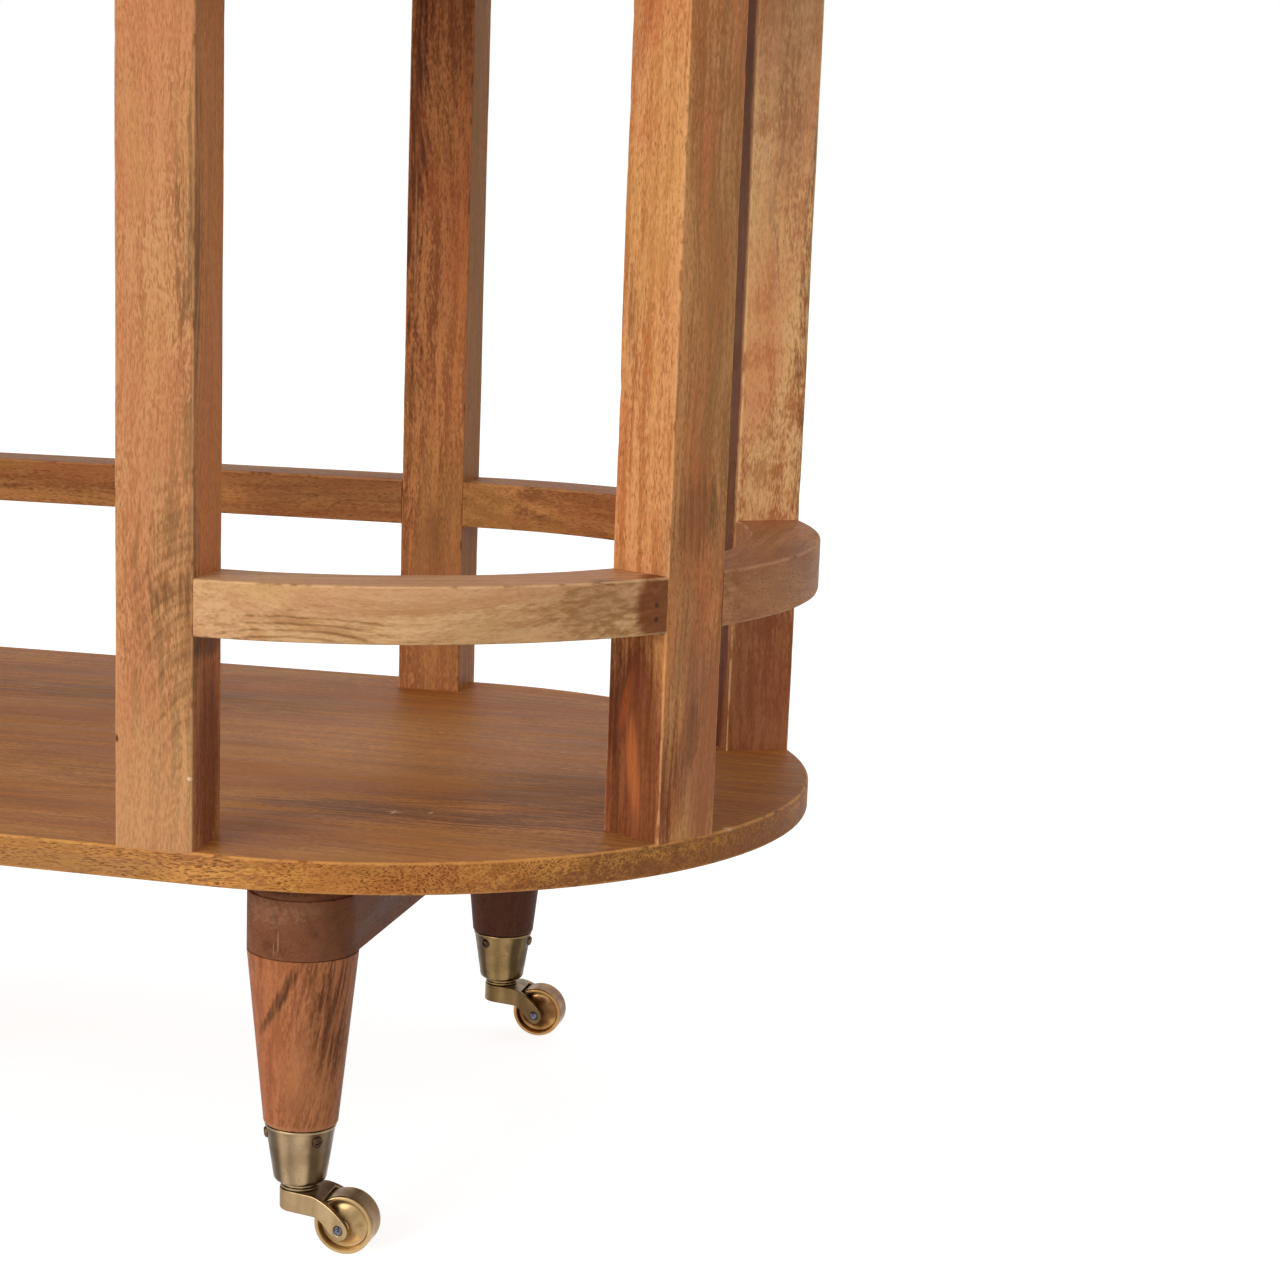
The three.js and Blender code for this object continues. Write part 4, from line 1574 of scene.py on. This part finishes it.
    def cup(self) -> Shape:
        """Makes the tapering cup, with a rolled lip and a rounded base."""
        base, top, turn = self.cup_base, self.cup_top, self.cup_round
        (lip, lip_height), (out, up) = self.lip, self.lip_start
        profile = [(self.hole, 0.0), (base - turn, 0.0)]
        for step in range(1, 7):
            angle = QUARTER * step / 6
            profile.append((base - turn + turn * math.sin(angle), turn * (1 - math.cos(angle))))
        body_top = self.cup_height - lip_height
        profile.append((top, body_top))
        for step in range(9):
            angle = math.pi * step / 8
            rise = (lip_height - up) * (1 - math.cos(angle)) / 2
            profile.append((top + out + lip * math.sin(angle), body_top + up + rise))
        profile += [(top - self.cup_wall, self.cup_height), (base - self.cup_wall, self.cup_floor)]
        profile.append((self.hole, self.cup_floor))
        return turned(profile, 96, worn=(12, 13, 14))

    def collar(self) -> Shape:
        """Makes the grooved collar between cup and fork."""
        radius, height, ease = self.collar_radius, self.collar_height, self.collar_ease
        deep, foot, top = self.groove
        profile = [(self.hole, 0.0), (radius - ease, 0.0), (radius, ease), (radius, foot)]
        profile += [(radius - deep, foot + ease), (radius - deep, top - ease), (radius, top)]
        profile += [(radius, height - ease), (radius - ease, height), (self.hole, height)]
        return turned(profile, 72, worn=(2, 3, 6, 7))

    def side_view(self) -> list[Pair]:
        """Returns the fork's outline from the side, as X and Z."""
        top, under = self.levels.fork_top, self.levels.fork_top - self.crown_height
        hub = Vector((self.trail, self.wheel_radius))
        first, last = (math.radians(angle) for angle in self.arm_span)

        def rim_point(angle: float) -> Vector:
            """Returns a point of an arm's round end."""
            return hub + Vector((math.cos(angle), math.sin(angle))) * self.arm_end

        def along(angle: float) -> Vector:
            """Returns the direction of the round end there, as long as its radius."""
            return Vector((math.sin(angle), -math.cos(angle))) * self.arm_end

        def curve(a: Vector, b: Vector, c: Vector, d: Vector, steps: int = 20) -> list[Pair]:
            """Returns a smooth curve from a to d that sets off towards b and comes in from c."""
            points = []
            for step in range(steps + 1):
                t = step / steps
                u = 1 - t
                points.append(tuple(a * u**3 + b * 3 * u * u * t + c * 3 * u * t * t + d * t**3))
            return points

        back = -self.crown_radius - self.back_room
        heel, flat = Vector((self.heel, under)), Vector((self.level_run, top))
        start, end = rim_point(first), rim_point(last)
        points = [(back, under)]
        away, home = self.under_pull
        points += curve(heel, heel + Vector((away * self.trail, 0)), start + along(first) * home, start)
        for step in range(1, 12):
            points.append(tuple(rim_point(first + (last - first) * step / 12)))
        away, home = self.over_pull
        points += curve(end, end - along(last) * home, flat + Vector((away * self.trail, 0)), flat)
        points.append((back, top))
        return points

    def plan(self, radius: float, half_width: float) -> list[Pair]:
        """Returns an outline from above: round behind, with sides that spread towards the wheel."""
        trail = self.trail
        spread = math.atan2(half_width, trail) - math.asin(radius / math.hypot(half_width, trail))
        reach = trail + self.arm_end + self.overrun
        side = (radius + reach * math.sin(spread)) / math.cos(spread)
        points = [(reach, side)]
        first, last = QUARTER + spread, 3 * QUARTER - spread
        for step in range(33):
            angle = first + (last - first) * step / 32
            points.append((radius * math.cos(angle), radius * math.sin(angle)))
        points.append((reach, -side))
        return points

    def fork(self, name: str) -> bpy.types.Object:
        """Makes the fork.

        Args:
            name: The object's name.

        Returns:
            The fork, with its edges rounded.
        """
        far = self.width
        body = prism([[Vector((x, y, z)) for x, z in self.side_view()] for y in (far, -far)])
        outer = self.plan(self.crown_radius, self.width / 2)
        inner = self.plan(self.crown_radius - self.arm, self.width / 2 - self.arm)

        def tower(outline: list[Pair]) -> Shape:
            """Returns an upright solid over an outline, higher and lower than the fork."""
            return prism([[Vector((x, y, z)) for x, y in outline] for z in self.tower])

        def drum(radius: float) -> Shape:
            """Returns a round solid on the axle, wider than the fork."""
            shape = turned([(0.0, -far), (radius, -far), (radius, far), (0.0, far)], 96)
            return shape.moved(self.on_axle())

        room = carved("room", drum(self.wheel_radius + self.wheel_gap), [(Carve.KEEP, tower(inner))])
        points = [vertex.co / MM for vertex in room.vertices]
        room_shape = Shape(points, [tuple(face.vertices) for face in room.polygons], [0.0] * len(points))
        bore = drum(self.axle_radius + self.fit)
        cuts = [(Carve.KEEP, tower(outer)), (Carve.CUT, room_shape), (Carve.CUT, bore)]
        mesh = carved(name, body, cuts)
        mesh.transform(Matrix.Translation((self.x * MM, self.y * MM, 0)))
        return eased(name, mesh, crease=30.0, ease=0.45, sharp=38.0)

    def on_axle(self) -> Matrix:
        """Returns the move from a piece turned about Z to its place on the axle."""
        return Matrix.Translation((self.trail, 0, self.wheel_radius)) @ Matrix.Rotation(QUARTER, 4, "X")

    def wheel(self) -> Shape:
        """Makes the dished wheel about its axle."""
        radius, half = self.wheel_radius, self.wheel_width / 2
        dish = half - self.dish_depth
        dish_out = radius - self.rim - self.cove
        dish_in = dish_out - self.dish_flat
        hub_end = self.hub_width / 2
        hub_side = hub_end - self.hub_ease
        side = [(self.axle_radius + self.fit, hub_end), (self.hub_radius - self.hub_ease, hub_end)]
        side.append((self.hub_radius, hub_side))
        for step in range(1, 13):
            share = step / 12
            out = self.hub_radius + (dish_in - self.hub_radius) * share ** self.flare[0]
            fall = (dish - hub_end + self.hub_ease) * (1 - (1 - share) ** self.flare[1])
            side.append((out, hub_side + fall))
        rim, tyre = radius - self.rim, radius - self.tyre_ease
        side += [(dish_out + out, dish + up) for out, up in self.cove_points]
        side += [(rim, half - self.rim_ease[1]), (rim + self.rim_ease[0], half), (tyre, half)]
        for step in range(1, 6):
            angle = QUARTER * step / 5
            fall = (half - self.tread / 2) * (1 - math.cos(angle))
            side.append((tyre + self.tyre_ease * math.sin(angle), half - fall))
        profile = [(r, -y) for r, y in side] + side[::-1]
        count = len(side)
        worn = [k for k in range(count) if radius - self.rim - 0.1 < side[k][0] < radius - 0.2]
        return turned(profile, 96, worn=tuple(worn) + tuple(2 * count - 1 - k for k in worn))

    def axle(self) -> Shape:
        """Makes the riveted pin about its own axis."""
        reach, radius = self.width / 2 + self.axle_proud, self.axle_radius
        end = [(0.0, reach), *((radius - inward, reach - down) for inward, down in self.axle_end)]
        return turned([(out, -up) for out, up in end] + end[::-1], 40)

    def screw(self, angle: float) -> Shape:
        """Makes a pan-head screw on the cup's wall.

        Args:
            angle: Its direction from +X, in degrees.

        Returns:
            The screw's head, with a cross-shaped recess, in its place.
        """
        radius, height = self.screw_radius, self.screw_height
        half_slot, slot_depth, slot_reach = self.slot
        skirt, sunk = self.screw_skirt
        points, faces, segments, rows = [], [], 64, 16
        for row in range(rows + 1):
            share = row / rows
            for step in range(segments):
                turn = 2 * math.pi * step / segments
                u, v = radius * share * math.cos(turn), radius * share * math.sin(turn)
                rise = height * (1 - share**self.screw_dome) ** 0.5
                if min(abs(u), abs(v)) < half_slot and math.hypot(u, v) < radius * slot_reach:
                    rise -= slot_depth * (1 - math.hypot(u, v) / radius)
                points.append(Vector((u, v, rise)))
        for row in range(rows):
            for step in range(segments):
                after = (step + 1) % segments
                a, b = row * segments, (row + 1) * segments
                faces.append((a + step, b + step, b + after, a + after))
        base = len(points)
        points += [Vector((p.x, p.y, -skirt)) for p in points[rows * segments : base]]
        for step in range(segments):
            after = (step + 1) % segments
            faces.append((rows * segments + step, base + step, base + after, rows * segments + after))
        faces.append(tuple(base + step for step in reversed(range(segments))))
        wall_height = self.cup_height - self.lip[1] - self.cup_round
        share = (self.screw_level - self.levels.cup - self.cup_round) / wall_height
        wall = self.cup_base + (self.cup_top - self.cup_base) * share
        tilt = math.atan2(self.cup_top - self.cup_base, wall_height)
        turn = Matrix.Rotation(math.radians(angle), 4, "Z")
        seat = Matrix.Translation((wall - sunk, 0, self.screw_level))
        seat @= Matrix.Rotation(QUARTER + tilt, 4, "Y")
        spin = Matrix.Rotation(math.radians(angle * 1.7), 4, "Z")
        return Shape(points, faces, [0.0] * len(points)).moved(turn @ seat @ spin)

    def metals(self) -> dict[str, AntiqueBrass]:
        """Returns the brass of each part. At the back, under the table, its colours are painted darker as
        painted shade.
        """
        hub = (self.x, self.y)
        screw = AntiqueBrass(paint(118, 94, 72), paint(74, 56, 42), paint(36, 26, 20))
        # Painted shade: the back castors stand under the table, so their brass is painted darker.
        if self.y > 0:
            cup = AntiqueBrass(paint(158, 130, 86), paint(82, 66, 42), paint(56, 42, 28), hub)
            wheel = AntiqueBrass(paint(190, 148, 94), paint(124, 86, 52), paint(88, 54, 30))
            fork = AntiqueBrass(paint(146, 120, 80), paint(106, 84, 54), paint(66, 48, 30))
        else:
            cup = AntiqueBrass(hub=hub)
            wheel = AntiqueBrass(paint(192, 163, 116), paint(136, 107, 69), paint(102, 70, 42))
            fork = AntiqueBrass(paint(184, 158, 118), paint(158, 132, 96), paint(96, 72, 46))
        return {"cup": cup, "wheel": wheel, "fork": fork, "screw": screw}

    def build(self) -> None:
        """Makes the castor."""
        metals, spot = self.metals(), Matrix.Translation((self.x, self.y, 0))
        axle_spot = spot @ self.on_axle()
        fork_body, wheel_body = "fork_" + self.place, "wheel_" + self.place

        def part(name: str, shape: Shape, where: Matrix) -> bpy.types.Object:
            """Returns a part in its place."""
            return shape.moved(where).piece(f"{name}_{self.place}", self.crease)

        def fit(kind: str, made: bpy.types.Object, body: str, slot: Slot = Slot.BRASS) -> None:
            """Puts a part on its body, in the place of the model's own."""
            settle(made, body, slot, f"castor_{kind}_{self.place}")

        cup = part("brass_cup", self.cup(), spot @ Matrix.Translation((0, 0, self.levels.cup)))
        metals["cup"].dress(cup, UP, self.seed)
        fit("cup", cup, "frame")
        collar = part("brass_collar", self.collar(), spot @ Matrix.Translation((0, 0, self.levels.collar)))
        metals["cup"].dress(collar, UP, self.seed + 0.2)
        fit("collar", collar, "frame")
        fork = self.fork("brass_fork_" + self.place)
        metals["fork"].dress(fork, UP, self.seed + 0.4)
        fit("fork", fork, fork_body)
        wheel = part("brass_wheel", self.wheel(), axle_spot)
        metals["wheel"].dress(wheel, ACROSS, self.seed + 0.6)
        fit("wheel", wheel, wheel_body)
        axle = part("steel_axle", self.axle(), axle_spot)
        Steel().dress(axle, ACROSS, self.seed)
        fit("axle", axle, fork_body, Slot.STEEL)
        for number, angle in enumerate(self.screws, 1):
            shape = self.screw(angle).moved(spot)
            screw = shape.piece(f"cup_screw_{self.place}_{number}", self.crease)
            metals["screw"].dress(screw, UP, self.seed + number)
            settle(screw, "frame", Slot.BRASS)


@dataclass
class Tray:
    """The lift-off tray: a board inside a rim with two hand-holds, and two cleats under it.

    Attributes:
        outline: The table's outline.
        levels: The heights of the table's pieces.
        posts: The posts, which the cleats drop between.
        board: Thickness of the board.
        wall: Thickness of the rim.
        ledge: Width and height of the ledge inside the rim's foot.
        rim_height: Height of the rim along the sides.
        handle_height: Height of the rim at a hand-hold.
        handle_run: Width of the raised part.
        handle_swell: Width over which it stays at full height.
        slot: Width, height and lift of a hand-hold.
        top_round: Radius of the rim's upper edges.
        foot_eases: Radii of the rim's lower edge and of the ledge's two edges.
        board_ease: Radius of the board's edges.
        gap: Gap between the tray's pieces.
        cleat_size: Thickness and width of a cleat.
        cleat_ease: Radius of a cleat's edges.
        cleat_corner: Radius of its corners.
        cleat_setback: From a side post to the cleat beside it.
        cleat_clearance: From a cleat's end to the rails it drops between.
        wood: The tray's finish.
    """

    outline: Outline
    levels: Levels
    posts: Posts
    board: float = 12.0
    wall: float = 14.0
    ledge: Pair = (6.0, 4.0)
    rim_height: float = 56.0
    handle_height: float = 74.0
    handle_run: float = 170.0
    handle_swell: float = 70.0
    slot: Triple = (104.0, 25.0, 36.0)
    top_round: float = 4.0
    foot_eases: Triple = (1.0, 0.6, 0.6)
    board_ease: float = 0.8
    gap: float = 0.15
    cleat_size: Pair = (22.0, 45.0)
    cleat_ease: float = 1.5
    cleat_corner: float = 2.0
    cleat_setback: float = 20.0
    cleat_clearance: float = 1.5
    wood: MangoWood = TAN

    def section(self, height: float) -> tuple[list[Pair], list[float]]:
        """Returns the rim's section as inward and upward distances, and its wear."""
        width, (ledge, foot) = self.wall, self.ledge
        corners = [(0.0, 0.0), (width + ledge, 0.0), (width + ledge, foot), (width, foot)]
        corners += [(width, height), (0.0, height)]
        return rounded(corners, [*self.foot_eases, 0.0, self.top_round, self.top_round], 5)

    def height_at(self, y: float) -> float:
        """Returns the height of an end's rim at a distance from its middle."""
        share = (abs(y) - self.handle_swell / 2) / ((self.handle_run - self.handle_swell) / 2)
        share = min(1.0, max(0.0, share))
        fall = share**3 * (share * (share * 6 - 15) + 10)
        return self.handle_height + (self.rim_height - self.handle_height) * fall

    def end_rim(self, name: str, turn: Matrix) -> bpy.types.Object:
        """Makes a round end of the rim, with its hand-hold.

        Args:
            name: The object's name.
            turn: The turn from the right-hand end to this one.

        Returns:
            The piece.
        """
        rings, wear, steps = [], [], 120
        for step in range(steps + 1):
            angle = -QUARTER + math.pi * step / steps
            out = Vector((math.cos(angle), math.sin(angle), 0))
            section, rub = self.section(self.height_at(self.outline.radius * out.y))
            hub = Vector((self.outline.straight + self.gap, 0, self.levels.rim))
            radius = self.outline.radius - self.gap
            rings.append([hub + out * (radius - inward) + UP * up for inward, up in section])
            wear.append(rub)
        width, height, lift = self.slot
        hole = stadium((width - height) / 2, height / 2, 24)
        reach = self.outline.straight + self.outline.radius
        middle = self.levels.rim + lift + height / 2
        ends = (reach - 4 * self.wall, reach + self.wall)
        cutter = prism([[Vector((x, u, middle + v)) for u, v in hole] for x in ends])
        mesh = carved(name, loft(rings, wear), [(Carve.CUT, cutter)])
        mesh.transform(turn)
        return eased(name, mesh, crease=35.0, ease=1.6, sharp=50.0)

    def side_rim(self) -> Shape:
        """Makes the front side of the rim."""
        section, rub = self.section(self.rim_height)
        reach, steps = self.outline.straight - self.gap, 24
        radius, rim = self.outline.radius, self.levels.rim
        rings = []
        for step in range(steps + 1):
            x = -reach + 2 * reach * step / steps
            rings.append([Vector((x, inward - radius, rim + up)) for inward, up in section])
        return loft(rings, [rub] * (steps + 1))

    def build(self) -> None:
        """Makes the tray."""
        levels = self.levels
        inset = self.wall + self.gap
        shape = slab(self.outline.board(inset, 96), levels.tray, levels.tray + self.board, self.board_ease)
        board = shape.piece("tray_floor_board")
        self.wood.dress(board, ALONG, 60.0)
        settle(board, "tray", Slot.TRAY, "tray_board")
        for name, turn in (("right", AS_IT_IS), ("left", HALF_TURN)):
            rim = self.end_rim("tray_rim_" + name, turn)
            self.wood.dress(rim, ACROSS, 63.0 + len(name))
            settle(rim, "tray", Slot.TRAY, "tray_end_" + name)
        for name, turn in (("front", AS_IT_IS), ("back", HALF_TURN)):
            rim = self.side_rim().moved(turn).piece("tray_rim_" + name)
            self.wood.dress(rim, ALONG, 71.0 + len(name))
            settle(rim, "tray", Slot.TRAY, "tray_side_" + name)
        thick, width = self.cleat_size
        side_post = self.outline.straight - self.posts.setback
        x = side_post - self.posts.width / 2 - self.cleat_setback - width / 2
        reach = self.outline.radius - self.posts.depth - self.cleat_clearance
        corners = [(-width / 2, -reach), (width / 2, -reach), (width / 2, reach), (-width / 2, reach)]
        for side in Side:
            name = side.name.lower()
            outline, _ = rounded(corners, [self.cleat_corner] * 4, 4)
            high = levels.tray - self.gap
            shape = slab(outline, high - thick, high, self.cleat_ease)
            spot = Matrix.Translation((side.value * x, 0, 0))
            cleat = shape.moved(spot).piece("tray_batten_" + name)
            self.wood.dress(cleat, ACROSS, 80.0 + side.value)
            settle(cleat, "tray", Slot.TRAY, "tray_cleat_" + name)


# The studio.


@dataclass
class Studio:
    """A pale floor, soft light from the front left and the photograph's camera.

    Attributes:
        camera_spot: Where the camera stands, in millimetres.
        azimuth: Which way it has gone round the table, in degrees.
        pitch: How far it looks down.
        roll: How far it leans.
        lens: Its focal length, in millimetres.
        sensor: Width of its sensor.
        shift: How far its frame is shifted, as shares of the frame's width.
        ambient: Strength of the even light from all round.
        key_spot: Where the lamp hangs, in millimetres.
        key_aim: What it is turned to.
        key_size: Width of the lamp, in metres.
        key_power: Power of the lamp, in watts.
        floor_half: Half the width of the floor.
        floor_glow: How brightly the floor shows where it is seen directly.
    """

    camera_spot: Triple = (682.7, -1459.8, 540.3)
    azimuth: float = 17.79
    pitch: float = 11.92
    roll: float = 1.02
    lens: float = 77.42
    sensor: float = 36.0
    shift: Pair = (0.2095, 0.0899)
    ambient: float = 0.55
    key_spot: Triple = (-1550.0, -3500.0, 1350.0)
    key_aim: Triple = (100.0, 0.0, 350.0)
    key_size: float = 2.4
    key_power: float = 87.0
    floor_half: float = 40000.0
    floor_glow: float = 0.8

    def camera(self) -> None:
        """Makes the camera."""
        side, down, lean = (math.radians(v) for v in (self.azimuth, self.pitch, self.roll))
        ahead = Vector((-math.sin(side) * math.cos(down), math.cos(side) * math.cos(down), -math.sin(down)))
        right = Vector((math.cos(side), math.sin(side), 0))
        top = right.cross(ahead)
        x_axis = right * math.cos(lean) + top * math.sin(lean)
        y_axis = top * math.cos(lean) - right * math.sin(lean)
        data = bpy.data.cameras.new("photographer")
        data.lens, data.sensor_width = self.lens, self.sensor
        data.shift_x, data.shift_y = self.shift
        made = bpy.data.objects.new("photographer", data)
        turn = Matrix((x_axis, y_axis, -ahead)).transposed().to_4x4()
        made.matrix_world = Matrix.Translation(Vector(self.camera_spot) * MM) @ turn
        bpy.context.scene.collection.objects.link(made)
        bpy.context.scene.camera = made

    def seen(self, mix: Recipe) -> bpy.types.NodeSocket:
        """Returns 1 for what the camera, or a reflection or glass, shows directly."""
        path = mix.add("LightPath", {}).outputs
        shown = mix.sum("MAXIMUM", path["Is Camera Ray"], path["Is Glossy Ray"])
        return mix.sum("MAXIMUM", shown, path["Is Transmission Ray"])

    def floor(self) -> None:
        """Makes the pale floor, which shows white but keeps the table's shadow."""
        signs = ((-1, -1), (1, -1), (1, 1), (-1, 1))
        corners = [Vector((x, y, 0)) * self.floor_half for x, y in signs]
        made = Shape(corners, [(0, 1, 2, 3)], [0.0] * 4).piece("studio_floor")
        mix = Recipe(bpy.data.materials.new("studio_floor_finish"))
        here = mix.add("TexCoord", {}).outputs["Object"]
        grey = mix.blend(mix.cloud(here, (3, 3, 3), 2.0), paint(204, 204, 204), paint(208, 208, 208))
        matt = mix.add("BsdfDiffuse", {"Color": grey}).outputs[0]
        strength = mix.sum("MULTIPLY", self.seen(mix), self.floor_glow)
        glow = mix.add("Emission", {"Color": (1, 1, 1, 1), "Strength": strength}).outputs[0]
        shown = mix.add("AddShader", {0: matt, 1: glow}).outputs[0]
        mix.add("OutputMaterial", {"Surface": shown})
        made.data.materials.append(mix.owner)

    def lights(self) -> None:
        """Makes the lamp and the even light round the table."""
        world = bpy.data.worlds.new("studio")
        bpy.context.scene.world = world
        mix = Recipe(world)
        limits = {"Value": self.seen(mix), "To Min": self.ambient, "To Max": 1.0}
        strength = mix.add("MapRange", limits).outputs[0]
        sky = mix.add("Background", {"Color": (1, 1, 1, 1), "Strength": strength}).outputs[0]
        mix.add("OutputWorld", {0: sky})
        lamp = bpy.data.lights.new("softbox", "AREA")
        lamp.shape, lamp.size, lamp.energy = "SQUARE", self.key_size, self.key_power
        made = bpy.data.objects.new("softbox", lamp)
        spot = Vector(self.key_spot) * MM
        turn = (Vector(self.key_aim) * MM - spot).to_track_quat("-Z", "Y")
        made.matrix_world = Matrix.Translation(spot) @ turn.to_matrix().to_4x4()
        bpy.context.scene.collection.objects.link(made)

    def build(self) -> None:
        """Makes the studio."""
        self.floor()
        self.lights()
        self.camera()
        bpy.context.scene.view_settings.view_transform = "Standard"


def main() -> None:
    """Builds the table piece by piece, and the studio round it."""
    logging.basicConfig(level=logging.INFO, format="%(name)s: %(message)s")
    outline, levels = Outline(), Levels()
    posts = Posts(outline, levels)
    base = Undercarriage(outline, levels)
    Shelf(outline, levels).build()
    posts.build()
    Rails(outline, levels, posts).build()
    base.build()
    screws = {
        "front_right": (-41, -161, 79),
        "back_right": (-115, 5, 125),
        "front_left": (-75, 45, 165),
        "back_left": (-139, -19, 101),
    }
    for seed, (place, angles) in enumerate(screws.items()):
        x = base.leg_x * (1 if place.endswith("right") else -1)
        y = base.leg_y * (1 if place.startswith("back") else -1)
        Castor(levels, place, x, y, angles, seed * 1.1).build()
    Tray(outline, levels, posts).build()
    Studio().build()


if __name__ == "__main__":
    main()
